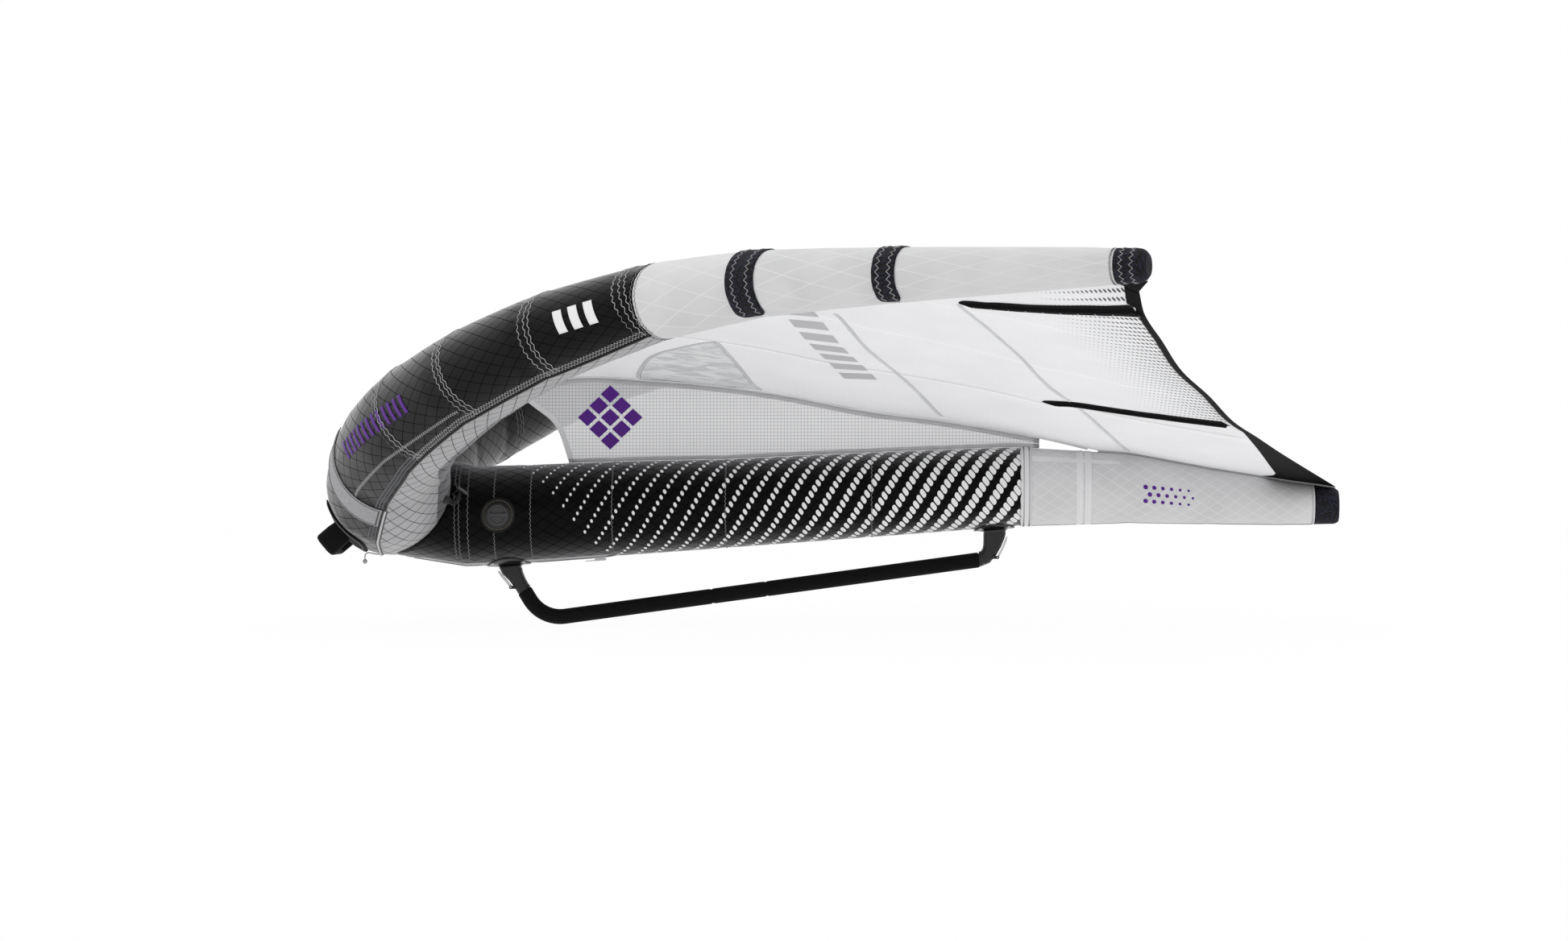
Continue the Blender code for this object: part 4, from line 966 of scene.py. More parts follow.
# Screen inks: flat, a little smoother than the cloth under them.
PURPLE_INK = Finish("screen_ink_purple", "#4f1380", roughness=0.55, specular=0.3)
WHITE_INK = Finish("screen_ink_white", "#e2e2e2", roughness=0.55)
GREY_INK = Finish("screen_ink_grey", "#bcbcbe", roughness=0.6)


Spot = tuple[Vector, Vector]
Points = Sequence[Vector]
Surface = Callable[[float, float, float], Vector]
Ring = tuple[float, float, float, float]


def placed(name: str, data: bpy.types.ID) -> bpy.types.Object:
    """Puts data into the scene as an object.

    Args:
        name: the object's name.
        data: its mesh, lamp or camera.

    Returns:
        The object.
    """
    made = bpy.data.objects.new(name, data)
    bpy.context.scene.collection.objects.link(made)
    return made


class Stock:
    """Geometry gathered for one piece: grids and tubes, with UVs in metres."""

    def __init__(self) -> None:
        """Starts with nothing in it."""
        self.work = bmesh.new()
        self.uv = self.work.loops.layers.uv.new("metres")

    def grid(
        self, rows: Sequence[Points], uvs: Sequence[Sequence[Point]] | None = None, slot: int = 0
    ) -> None:
        """Adds a skin through rows of points.

        Args:
            rows: the points, the same number in each row.
            uvs: a UV for each point, or none.
            slot: the material slot of its faces.
        """
        verts = [[self.work.verts.new(point) for point in row] for row in rows]
        for i in range(len(rows) - 1):
            for j in range(len(rows[0]) - 1):
                corners = ((i, j), (i, j + 1), (i + 1, j + 1), (i + 1, j))
                face = self.work.faces.new([verts[a][b] for a, b in corners])
                face.smooth = True
                face.material_index = slot
                if uvs:
                    for loop, (a, b) in zip(face.loops, corners):
                        loop[self.uv].uv = uvs[a][b]

    def mapped(
        self,
        spots: Sequence[Sequence[Point]],
        place: Callable[[float, float], Vector],
        uv: Callable[[float, float], Point],
        slot: int = 0,
    ) -> None:
        """Adds a skin whose points are each known by two numbers.

        Args:
            spots: the two numbers of each point, row by row.
            place: gives the point.
            uv: gives its UV.
            slot: the material slot of its faces.
        """
        rows = [[place(*spot) for spot in row] for row in spots]
        self.grid(rows, [[uv(*spot) for spot in row] for row in spots], slot)

    def tube(
        self, points: Points, radius: float | Sequence[float], sides: int = 6, slot: int = 0
    ) -> None:
        """Adds a closed round tube along points.

        Args:
            points: its centre line.
            radius: one radius, or one for each point.
            sides: faces round it.
            slot: the material slot of its faces.
        """
        sizes = [radius] * len(points) if isinstance(radius, (int, float)) else list(radius)
        rings = []
        aside = None
        travelled = 0.0
        for i, point in enumerate(points):
            ahead = points[min(i + 1, len(points) - 1)] - points[max(i - 1, 0)]
            ahead = ahead.normalized() if ahead.length > 1e-9 else Vector((1, 0, 0))
            if aside is None:
                aside = ahead.orthogonal().normalized()
            aside = (aside - ahead * aside.dot(ahead)).normalized()
            over = ahead.cross(aside)
            ring = [
                self.work.verts.new(point + sizes[i] * (u * aside + v * over)) for u, v in circle(sides)
            ]
            travelled += (point - points[max(i - 1, 0)]).length
            rings.append((ring, travelled))
        for (low, u_low), (high, u_high) in zip(rings, rings[1:]):
            for k in range(sides):
                m = (k + 1) % sides
                face = self.work.faces.new((low[k], low[m], high[m], high[k]))
                face.smooth = True
                face.material_index = slot
                girth = 2 * math.pi * sizes[0]
                corners = ((u_low, k), (u_low, k + 1), (u_high, k + 1), (u_high, k))
                for loop, (u, v) in zip(face.loops, corners):
                    loop[self.uv].uv = (u, v * girth / sides)
        for ring, turned in ((rings[0][0], True), (rings[-1][0], False)):
            face = self.work.faces.new(list(reversed(ring)) if turned else ring)
            face.material_index = slot

    def loft(
        self, rings: Sequence[Points], caps: tuple[bool, bool] = (True, True), slot: int = 0
    ) -> None:
        """Adds a skin through closed rings.

        Args:
            rings: the rings, the same number of points in each.
            caps: whether the first and the last ring are closed.
            slot: the material slot of its faces.
        """
        closed = [list(ring) + [ring[0]] for ring in rings]
        uvs = []
        travelled = 0.0
        for i, ring in enumerate(closed):
            travelled += (ring[0] - closed[max(i - 1, 0)][0]).length
            arc = [0.0]
            for a, b in zip(ring, ring[1:]):
                arc.append(arc[-1] + (b - a).length)
            uvs.append([(travelled, value) for value in arc])
        self.grid(closed, uvs, slot)
        for wanted, ring in zip(caps, (rings[0], rings[-1])):
            if wanted:
                face = self.work.faces.new([self.work.verts.new(point) for point in ring])
                face.material_index = slot

    def pad(self, place: Surface, rings: Sequence[Ring], sides: int) -> None:
        """Adds a closed pad that follows a surface.

        Args:
            place: the surface, from two lengths in metres and a height over it.
            rings: half length, half width, squareness and height of each ring, from under it to its top.
            sides: points round it.
        """
        found = []
        for half_u, half_v, power, lift in rings:
            bend = 2 / power
            found.append(
                [place(boxed(u, bend) * half_u, boxed(v, bend) * half_v, lift) for u, v in circle(sides)]
            )
        self.loft(found)

    def patch(
        self, place: Surface, corners: Sequence[Point], lift: float, steps: tuple[int, int]
    ) -> None:
        """Adds a four cornered flat shape that follows a surface.

        Args:
            place: the surface.
            corners: its corners in order, in metres on the surface.
            lift: its height over the surface.
            steps: faces along its two directions.
        """
        a, b, c, d = (Vector(corner) for corner in corners)
        rows, uvs = [], []
        for i in range(steps[0] + 1):
            low, high = a.lerp(b, i / steps[0]), d.lerp(c, i / steps[0])
            spots = [low.lerp(high, j / steps[1]) for j in range(steps[1] + 1)]
            rows.append([place(spot.x, spot.y, lift) for spot in spots])
            uvs.append([(spot.x, spot.y) for spot in spots])
        self.grid(rows, uvs)

    def tape(
        self,
        route: Sequence[Spot],
        width: float | Sequence[float],
        height: float,
        slot: int = 0,
        sink: float = 0.0002,
    ) -> None:
        """Adds a flat tape along a route.

        Args:
            route: points with their normals.
            width: one width, or one for each point.
            height: its thickness.
            slot: the material slot of its faces.
            sink: how far it reaches into the surface.
        """
        widths = [width] * len(route) if isinstance(width, (int, float)) else list(width)
        rings = []
        for i, (point, normal) in enumerate(route):
            across = sideways(route, i) * widths[i] / 2
            low, high = point - normal * sink, point + normal * height
            rings.append([low - across, high - across * 0.97, high, high + across * 0.97, low + across])
        self.loft(rings, slot=slot)

    def piece(
        self,
        name: str,
        finishes: Finish | Sequence[Finish],
        body: str = "wing",
        slot: str | None = None,
        replaces: Sequence[str] = (),
        wall: float = 0.0,
        wall_side: float = -1.0,
        sharp: float = 38.0,
        outward: Vector | None = None,
    ) -> bpy.types.Object:
        """Turns what was gathered into a piece of the object.

        Args:
            name: the piece's name.
            finishes: its finish, or one for each material slot.
            body: the body that it rides on.
            slot: the record's material slot; not used.
            replaces: the nodes that it stands for.
            wall: thickness given to an open skin.
            wall_side: -1 thickens inwards, 1 outwards.
            sharp: edges that turn more than this many degrees stay sharp.
            outward: a direction that the first face must face, for an open skin.

        Returns:
            The object.
        """
        bmesh.ops.remove_doubles(self.work, verts=self.work.verts, dist=0.000003)
        loose = [face for face in self.work.faces if face.calc_area() < 1e-13]
        bmesh.ops.delete(self.work, geom=loose, context="FACES")
        bmesh.ops.recalc_face_normals(self.work, faces=self.work.faces)
        self.work.faces.ensure_lookup_table()
        if outward is not None and self.work.faces[0].normal.dot(outward) < 0:
            bmesh.ops.reverse_faces(self.work, faces=self.work.faces)
        mesh = bpy.data.meshes.new(name)
        self.work.to_mesh(mesh)
        self.work.free()
        mesh.set_sharp_from_angle(angle=math.radians(sharp))
        made = placed(name, mesh)
        for finish in [finishes] if isinstance(finishes, Finish) else finishes:
            mesh.materials.append(finish.material())
        if wall:
            modifier = made.modifiers.new("wall", "SOLIDIFY")
            modifier.thickness = wall
            modifier.offset = wall_side
        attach(made, body)
        if replaces:
            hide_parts(*replaces)
        LOG.info("%s: %d faces on %s", name, len(mesh.polygons), body)
        return made


def sideways(route: Sequence[Spot], i: int) -> Vector:
    """The direction across a route, level with the surface.

    Args:
        route: points with their normals.
        i: number of the point.

    Returns:
        The direction.
    """
    ahead = route[min(i + 1, len(route) - 1)][0] - route[max(i - 1, 0)][0]
    return route[i][1].cross(ahead).normalized()


def points_of(route: Sequence[Spot]) -> list[Vector]:
    """The points of a route without their normals."""
    return [point for point, _ in route]


def lifted(route: Sequence[Spot], height: float) -> list[Spot]:
    """A route raised off its surface."""
    return [(point + normal * height, normal) for point, normal in route]


def resampled(route: Sequence[Spot], step: float) -> list[Spot]:
    """The same route with evenly spaced points.

    Args:
        route: points with their normals.
        step: about how far apart the new points are.

    Returns:
        The new points with their normals.
    """
    lengths = [0.0]
    for (a, _), (b, _) in zip(route, route[1:]):
        lengths.append(lengths[-1] + (b - a).length)
    count = max(2, round(lengths[-1] / step))
    found = []
    k = 0
    for i in range(count + 1):
        wanted = lengths[-1] * i / count
        while k < len(lengths) - 2 and lengths[k + 1] < wanted:
            k += 1
        share = (wanted - lengths[k]) / max(lengths[k + 1] - lengths[k], 1e-9)
        point = route[k][0].lerp(route[k + 1][0], share)
        normal = route[k][1].lerp(route[k + 1][1], share).normalized()
        found.append((point, normal))
    return found


class StitchKind(Enum):
    """How a row of stitches runs."""

    ZIGZAG = "zigzag"
    WAVE = "wave"
    STRAIGHT = "straight"


@dataclass(frozen=True)
class Stitch:
    """A row of machine stitches of thick thread."""

    kind: StitchKind
    pitch: float = 0.007
    swing: float = 0.0020
    thread: float = 0.0006  # drawn a little thicker than real thread, so that it shows
    aside: float = 0.0
    wander: float = 0.0

    def sew(self, stock: Stock, route: Sequence[Spot], slot: int = 0) -> None:
        """Adds the row's thread along a route.

        Args:
            stock: the piece that gathers the thread.
            route: points with their normals on the cloth.
            slot: the material slot of the thread.
        """
        parts = {StitchKind.ZIGZAG: 2, StitchKind.WAVE: 6, StitchKind.STRAIGHT: 1}[self.kind]
        spots = resampled(route, self.pitch / parts)
        points = []
        for i, (point, normal) in enumerate(spots):
            across = sideways(spots, i)
            if self.kind is StitchKind.ZIGZAG:
                swing = self.swing * (1 if i % 2 else -1)
            elif self.kind is StitchKind.WAVE:
                swing = self.swing * math.sin(2 * math.pi * i / parts)
            else:
                swing = 0.0
            drift = self.wander * noise.noise(point * 11.0 + Vector((self.aside * 900, 0, 0)))
            points.append(point + across * (swing + self.aside + drift) + normal * self.thread * 0.45)
        stock.tube(points, self.thread, 4, slot)


class Side(IntEnum):
    """Half of the wing. Its value turns lengths out from the middle into Y."""

    LEFT = -1
    RIGHT = 1

    @property
    def label(self) -> str:
        """The end of the names of its pieces and nodes."""
        return "_" + self.name.lower()


def around_tube(distance: float, angle: float) -> Surface:
    """The leading edge round a point: lengths along it and up in angle, and height."""
    girth = TUBE.radius(distance)
    return lambda u, v, lift: TUBE.point(distance + u, angle + math.degrees(v / girth), lift)


def around_strut(x: float, angle: float) -> Surface:
    """The strut round a point: lengths aft and up in angle, and height."""
    girth = BEAM.radius(x)
    return lambda u, v, lift: BEAM.point(x + u, angle + math.degrees(v / girth), lift)


def spot_on(place: Surface, u: float, v: float, lift: float) -> Spot:
    """A point over a surface, with the direction straight out of it."""
    return place(u, v, lift), (place(u, v, 0.01) - place(u, v, 0.0)).normalized()


def finished(node: str, finish: Finish) -> None:
    """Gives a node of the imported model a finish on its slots.

    Args:
        node: the node's name.
        finish: its finish.
    """
    found = bpy.data.objects[node]
    made = finish.material()
    for place in found.material_slots:
        place.link = "OBJECT"
        place.material = made


@dataclass(frozen=True)
class WaveRows:
    """Rows of wavy stitches side by side over a seam ring."""

    asides: tuple[float, ...]
    swing: float
    thread: float
    wander: float
    pitch: float = 0.0130
    longer: float = 0.001  # how much longer the waves get from row to row

    def sew(self, stock: Stock, route: Sequence[Spot], slot: int) -> None:
        """Adds the rows along a route.

        Args:
            stock: the piece that gathers the thread.
            route: points with their normals on the cloth.
            slot: the material slot of the thread.
        """
        for number, aside in enumerate(self.asides):
            pitch = self.pitch + self.longer * number
            row = Stitch(StitchKind.WAVE, pitch, self.swing, self.thread, aside, self.wander)
            row.sew(stock, route, slot)


@dataclass
class LeadingEdge:
    """Casings, caps, piping, seams and bands of the inflated leading edge."""

    ring_step: float = 0.010
    around: int = 96
    under: int = 14  # faces across the grey underside panel
    wall: float = 0.0008
    gap: float = 0.0003  # between two casings at their seam
    cap_sides: int = 64
    bladder_sides: int = 40
    bladder_inset: float = 0.004
    panel_ends: tuple[Row, ...] = (  # distance, and the angle where the grey underside panel ends
        (0.0, 322.0), (0.30, 316.0), (0.47, 291.0), (0.80, 288.0), (1.283, 288.0),
    )
    piping_angles: tuple[Row, ...] = (
        (0.0, 260.0), (0.40, 259.5), (0.53, 254.5), (0.70, 251.5), (0.87, 252.0), (1.12, 251.0),
        (1.283, 243.0),
    )
    piping_radius: float = 0.0021
    nose_piping: Point = (-0.2545, 0.2545)  # where it is grey, and thicker
    seam_rings: tuple[Point, ...] = (  # distance, and how far the ring leans aft on its way down
        (0.520, 0.022), (0.763, 0.022), (1.015, 0.010), (1.256, 0.022),
    )
    outer_waves: WaveRows = WaveRows((-0.0155, 0.0, 0.0130), 0.0023, 0.0008, 0.0060)
    inner_waves: WaveRows = WaveRows((-0.0105, 0.0, 0.0115), 0.0016, 0.00065, 0.0040)
    inner_band: Point = (1.487, 1.544)
    outer_band: Point = (1.768, 1.809)
    band_angles: Point = (54.0, 252.0)
    band_lift: float = 0.0009
    tab: tuple[Ring, ...] = (
        (0.009, 0.005, 5, 0.0002), (0.009, 0.005, 5, 0.0014), (0.007, 0.0035, 5, 0.0016),
    )
    nose_band: Point = (0.185, 0.256)
    nose_band_angles: Point = (150.0, 257.0)
    nose_band_lift: float = 0.0030
    bars: Row = (1.088, 1.126, 1.164)
    bar: Row = (0.022, 0.012, 0.021)  # width, slant and half height
    hatch: Row = (0.330, 0.612, 0.0235)  # first and last stroke, and the step
    stroke: Row = (0.0105, 0.014, 0.019)
    ink: float = 0.00012
    ink_lift: float = 0.0011

    def uv(self, distance: float, angle: float) -> Point:
        """UV of a point of the tube."""
        return (distance, math.radians(angle) * 0.085)

    def piping_angle(self, distance: float) -> float:
        """Where the piping runs."""
        return smooth_between(self.piping_angles, min(abs(distance), COLOUR_BREAK))[1]

    def panel_end(self, distance: float) -> float:
        """Where the grey underside panel ends."""
        return smooth_between(self.panel_ends, min(abs(distance), COLOUR_BREAK))[1]

    def skin(
        self, stock: Stock, distances: Sequence[float], low: Curve, high: Curve, steps: int, slot: int = 0
    ) -> None:
        """Adds a stretch of tube between two lines along it.

        Args:
            stock: the piece that gathers it.
            distances: the rings.
            low: the angle of its first line at a distance.
            high: the angle of its last line.
            steps: faces from one line to the other.
            slot: the material slot.
        """
        spots = []
        for d in distances:
            start, end = low(d), high(d)
            spots.append([(d, start + (end - start) * i / steps) for i in range(steps + 1)])
        stock.mapped(spots, lambda d, angle: TUBE.point(d, angle, self.pucker(d, angle)), self.uv, slot)

    def pucker(self, distance: float, angle: float) -> float:
        """Small gathers of the cloth beside each seam ring.

        Args:
            distance: along the tube.
            angle: round it.

        Returns:
            How far they lift the cloth.
        """
        near = bell(TUBE.to_seam(distance) / 0.035)
        turn = math.radians(angle)
        ripple = noise.noise(Vector((math.cos(turn) * 4.5, math.sin(turn) * 4.5, distance * 3.0)))
        return 0.0013 * near * ripple + 0.0004 * noise.noise(TUBE.point(distance, angle) * 14.0)

    def build(self) -> None:
        """Builds everything on the tube."""
        self.build_centre()
        for side in Side:
            self.build_outer(side)
            self.build_bands(side)
            self.build_marks(side)
            self.build_nose_band(side)
            self.build_seams(side)
        self.build_bladder()
        self.build_piping()

    def build_centre(self) -> None:
        """The black casing with its grey underside panels."""
        stock = Stock()
        distances = spread(-COLOUR_BREAK, COLOUR_BREAK, self.ring_step)
        top = lambda d: self.piping_angle(d) + 360
        self.skin(stock, distances, self.piping_angle, self.panel_end, self.under, 1)
        self.skin(stock, distances, self.panel_end, top, self.around - self.under)
        stock.piece(
            "leading_edge_centre", (BLACK_CLOTH, GREY_CLOTH), slot="black_cloth",
            replaces=("leading_edge_casing_centre",), wall=self.wall, outward=Vector((0, 0, -1)),
        )

    def build_outer(self, side: Side) -> None:
        """The light casing and tip cap of one side.

        Args:
            side: which half.
        """
        stock = Stock()
        distances = [side * d for d in spread(COLOUR_BREAK + self.gap, TIP_SEAM, self.ring_step)]
        self.skin(stock, distances, lambda d: 0.0, lambda d: 360.0, self.around)
        stock.piece(
            "leading_edge_light" + side.label, LIGHT_CLOTH, slot="light_cloth",
            replaces=("leading_edge_casing" + side.label,), wall=self.wall,
            outward=TUBE.normal(side * 1.3, 2),
        )
        stock = Stock()
        rings = []
        for share in spread(0.0, 1.0, 0.1):
            d = side * min(TIP_SEAM + self.gap + (TUBE_END - TIP_SEAM) * share, TUBE_END)
            shrink = -0.0085 * max(0.0, (share - 0.70) / 0.30) ** 2.5
            rings.append([TUBE.point(d, 360 * i / self.cap_sides, shrink) for i in range(self.cap_sides)])
        middle = sum(rings[-1], Vector()) / self.cap_sides
        rings.append([point.lerp(middle, 0.45) for point in rings[-1]])
        stock.loft(rings, (False, True))
        stock.piece(
            "tip_end" + side.label, BAND_WEAVE, slot="black_cloth", replaces=("tip_cap" + side.label,),
            wall=self.wall,
        )
        thread = Stock()
        row = Stitch(StitchKind.ZIGZAG, pitch=0.011, swing=0.0032, thread=0.0007)
        for d in (side * (TIP_SEAM + 0.012), side * (TIP_SEAM + 0.029)):
            row.sew(thread, [(TUBE.point(d, a), TUBE.normal(d, a)) for a in spread(0, 360, 4.0)])
        thread.piece("tip_end_thread" + side.label, THREAD)

    def spot(self, distance: float, angle: float, lift: float = 0.0) -> Spot:
        """A point on the gathered cloth with its normal."""
        height = self.pucker(distance, angle) + lift
        return TUBE.point(distance, angle, height), TUBE.normal(distance, angle)

    def along(self, start: float, end: float, angle: Curve, lift: float = 0.0) -> list[Spot]:
        """A route along the tube.

        Args:
            start: the distance where it starts.
            end: the distance where it ends.
            angle: its angle at a distance.
            lift: its height over the cloth.

        Returns:
            The points with their normals.
        """
        return [self.spot(d, angle(d), lift) for d in spread(start, end, 0.008)]

    def ring(self, distance: float, angles: Point, sway: float = 0.0, lift: float = 0.0) -> list[Spot]:
        """A route round the tube.

        Args:
            distance: where it crosses the front of the tube.
            angles: where it starts and ends.
            sway: how far it leans aft on its way down.
            lift: its height over the cloth.

        Returns:
            The points with their normals.
        """
        side = math.copysign(1, distance)
        return [
            self.spot(distance + side * sway * math.sin(math.radians(a - 180)), a, lift)
            for a in spread(*angles, 3.0)
        ]

    def lift_angle(self, distance: float, height: float) -> float:
        """The angle that lies a length above the piping."""
        return self.piping_angle(distance) - math.degrees(height / TUBE.radius(distance))

    def build_piping(self) -> None:
        """Welted piping between the black cloth and the grey panel, black outside and grey at the nose."""
        stock = Stock()
        for start, end in ((-COLOUR_BREAK, -0.256), (0.256, COLOUR_BREAK)):
            line = self.along(start, end, self.piping_angle, 0.0010)
            stock.tube(points_of(line), self.piping_radius, 8, 0)
            under = self.along(start, end, lambda d: self.lift_angle(d, -0.0030), 0.0004)
            stock.tube(points_of(under), 0.0009, 6, 1)
        line = self.along(*self.nose_piping, self.piping_angle, 0.0012)
        stock.tube(points_of(line), 0.0023, 8, 1)
        for height in (0.0030, -0.0032):
            beside = self.along(*self.nose_piping, lambda d: self.lift_angle(d, height), 0.0005)
            stock.tube(points_of(beside), 0.0013, 6, 0)
        for side in Side:
            for start, end, turn, size, slot in (
                (0.03, COLOUR_BREAK, -1.5, 0.0017, 0),
                (COLOUR_BREAK + 0.004, SPAN_ON_TUBE, -2.0, 0.0021, 2),
            ):
                seam = lambda d: between(SEAM_ANGLES, d)[1] + turn
                points = [TUBE.point(side * d, seam(d), 0.0009) for d in spread(start, end, 0.012)]
                stock.tube(points, size, 8, slot)
        stock.piece("leading_edge_piping", (PIPING, PALE_PIPING, HEM_CLOTH))

    def build_seams(self, side: Side) -> None:
        """Threads of one side: rows over the piping, the bold zigzag and the wavy seam rings.

        Args:
            side: which half.
        """
        stock = Stock()
        fine = Stitch(StitchKind.ZIGZAG, pitch=0.0040, swing=0.0017, thread=0.00055)
        wide = Stitch(StitchKind.ZIGZAG, pitch=0.0085, swing=0.0026, thread=0.0008)
        bold = Stitch(StitchKind.ZIGZAG, pitch=0.0075, swing=0.0027, thread=0.0008)
        wavy = Stitch(StitchKind.WAVE, pitch=0.009, swing=0.0014, thread=0.0006)
        straight = Stitch(StitchKind.STRAIGHT, pitch=0.004, thread=0.0009)
        for start, end, heights, kind, slot in (
            (0.117, 0.182, (0.0075, 0.0135, 0.0200), fine, 1),
            (0.259, 0.530, (0.0070, 0.0130, 0.0190), fine, 1),
            (0.530, COLOUR_BREAK - 0.01, (0.0070, 0.0140), wide, 0),
        ):
            for height in heights:
                line = self.along(side * start, side * end, lambda d: self.lift_angle(d, height))
                kind.sew(stock, line, slot)
        rise = lambda d: 227 + 5 * (abs(d) - 0.256) / 0.504
        bold.sew(stock, self.along(side * 0.260, side * 0.757, rise), 0)
        for distance, sway in self.seam_rings:
            angles = (between(SEAM_ANGLES, distance)[1] + 8, self.piping_angle(distance) - 3)
            self.outer_waves.sew(stock, self.ring(side * distance, angles, sway), 0)
        for distance, _ in self.seam_rings:
            angles = (self.panel_end(distance) - 356, between(SEAM_ANGLES, distance)[1] - 7)
            self.inner_waves.sew(stock, self.ring(side * distance, angles), 1)
        for distance in (COLOUR_BREAK - 0.0045, COLOUR_BREAK + 0.0050):
            wavy.sew(stock, self.ring(side * distance, (2, 340)), 1)
        fine.sew(stock, self.ring(side * (TIP_SEAM - 0.004), (2, 358)), 2)
        # The straight row in dull grey thread along the canopy seam is stitching and also a painted shadow
        # line for the gap of the seam; the two fine rows are stitching.
        for turn, kind in ((-4.5, straight), (-9.0, fine), (6.0, fine)):
            seam = lambda d: between(SEAM_ANGLES, abs(d))[1] + turn
            kind.sew(stock, self.along(side * (COLOUR_BREAK + 0.01), side * 2.15, seam), 1)
        stock.piece("leading_edge_thread" + side.label, (THREAD, DULL_THREAD, DARK_THREAD))

    def band(self, stock: Stock, distances: Point, angles: Point, lift: float, round_end: float) -> None:
        """Adds a band wrapped round the front of the tube.

        Args:
            stock: the piece that gathers it.
            distances: its two edges, along the tube.
            angles: where it starts and ends.
            lift: its height over the cloth.
            round_end: the length over which its last end rounds off.
        """
        middle = sum(distances) / 2
        half = (distances[1] - distances[0]) / 2
        girth = math.radians(1) * TUBE.radius(middle)
        spots = []
        for angle in spread(*angles, 2.0):
            left = (angles[1] - angle) * girth
            share = 1.0
            if left < round_end:
                share = 0.35 + 0.65 * math.sqrt(max(0.0, 1 - (1 - left / round_end) ** 2))
            spots.append([(middle + half * share * (k / 4 - 1), angle) for k in range(9)])
        stock.mapped(spots, lambda d, a: self.spot(d, a, lift)[0], lambda d, a: (d, a * girth))

    def build_bands(self, side: Side) -> None:
        """The two wear bands of one side, with their zigzag rows and tabs.

        Args:
            side: which half.
        """
        thread = Stock()
        tabs = Stock()
        row = Stitch(StitchKind.ZIGZAG, pitch=0.0120, swing=0.0034, thread=0.0008)
        first, last = self.band_angles
        for title, (start, end) in (("_inner", self.inner_band), ("_outer", self.outer_band)):
            stock = Stock()
            self.band(stock, (side * start, side * end), self.band_angles, self.band_lift, 0.018)
            stock.piece(
                "wear_cloth" + title + side.label, BAND_WEAVE, slot="coarse_band",
                replaces=("wear_band" + title + side.label,), wall=0.0011, wall_side=1.0,
                outward=TUBE.normal(side * start, first),
            )
            inset = (end - start) * 0.25
            for edge in (start + inset, end - inset):
                row.sew(thread, self.ring(side * edge, (first + 2, last - 9), lift=0.0021))
            place = around_tube(side * (start + end) / 2, last + 7)
            tabs.pad(place, self.tab, 28)
        thread.piece("wear_cloth_thread" + side.label, THREAD)
        tabs.piece("wear_cloth_tabs" + side.label, PALE_PIPING)

    def build_marks(self, side: Side) -> None:
        """Printed marks of one side: three white bars outside, and purple hatching by the nose.

        Args:
            side: which half.
        """
        kinds = (
            ("printed_bars", WHITE_INK, self.bars, 180, self.bar, 6, 1.1),
            ("printed_hatch", PURPLE_INK, spread(*self.hatch), 190, self.stroke, 4, 0.33),
        )
        for title, ink, starts, angle, (width, slant, half), steps, near in kinds:
            stock = Stock()
            outline = ((0.0, -half), (width, -half), (width + slant, half), (slant, half))
            corners = [(side * u, v) for u, v in outline]
            for start in starts:
                stock.patch(around_tube(side * start, angle), corners, self.ink_lift, (steps, 8))
            outward = TUBE.normal(side * near, angle - 10)
            stock.piece(title + side.label, ink, wall=self.ink, wall_side=1.0, outward=outward)

    def build_nose_band(self, side: Side) -> None:
        """The wide webbing band beside the nose, two strips with their ribs leaning together.

        Args:
            side: which half.
        """
        stock = Stock()
        girth = math.radians(1) * TUBE.radius(0.22)
        lift = self.nose_band_lift
        start, end = self.nose_band
        middle = (start + end) / 2
        for low, high in ((start, middle), (middle, end)):
            edges = [low + (high - low) * k / 6 for k in range(7)]
            stock.mapped(
                [[(d, angle) for d in edges] for angle in spread(*self.nose_band_angles, 2.0)],
                lambda d, angle: self.spot(side * d, angle, lift)[0],
                lambda d, angle: (abs(d - middle), angle * girth),
            )
        stock.piece(
            "nose_webbing" + side.label, WEBBING, slot="webbing", replaces=("nose_band" + side.label,),
            wall=0.0016, outward=TUBE.normal(side * 0.2, 151),
        )
        thread = Stock()
        row = Stitch(StitchKind.ZIGZAG, pitch=0.0060, swing=0.0016, thread=0.0006)
        edges = (side * (start + 0.005), side * (end - 0.005))
        for edge in edges:
            row.sew(thread, self.ring(edge, (152, 255), lift=lift))
        for angle in (153.0, 254.5):
            row.sew(thread, self.along(*edges, lambda d: angle, lift))
        thread.piece("nose_webbing_thread" + side.label, DARK_THREAD)

    def build_bladder(self) -> None:
        """The film tube inside the casings."""
        stock = Stock()
        sides = self.bladder_sides
        hoop = lambda d: [TUBE.point(d, 360 * i / sides, -self.bladder_inset) for i in range(sides)]
        stock.loft([hoop(d) for d in spread(-TIP_SEAM + 0.012, TIP_SEAM - 0.012, 0.030)])
        stock.piece(
            "leading_edge_inner_tube", BLADDER, slot="bladder_film", replaces=("leading_edge_bladder",)
        )


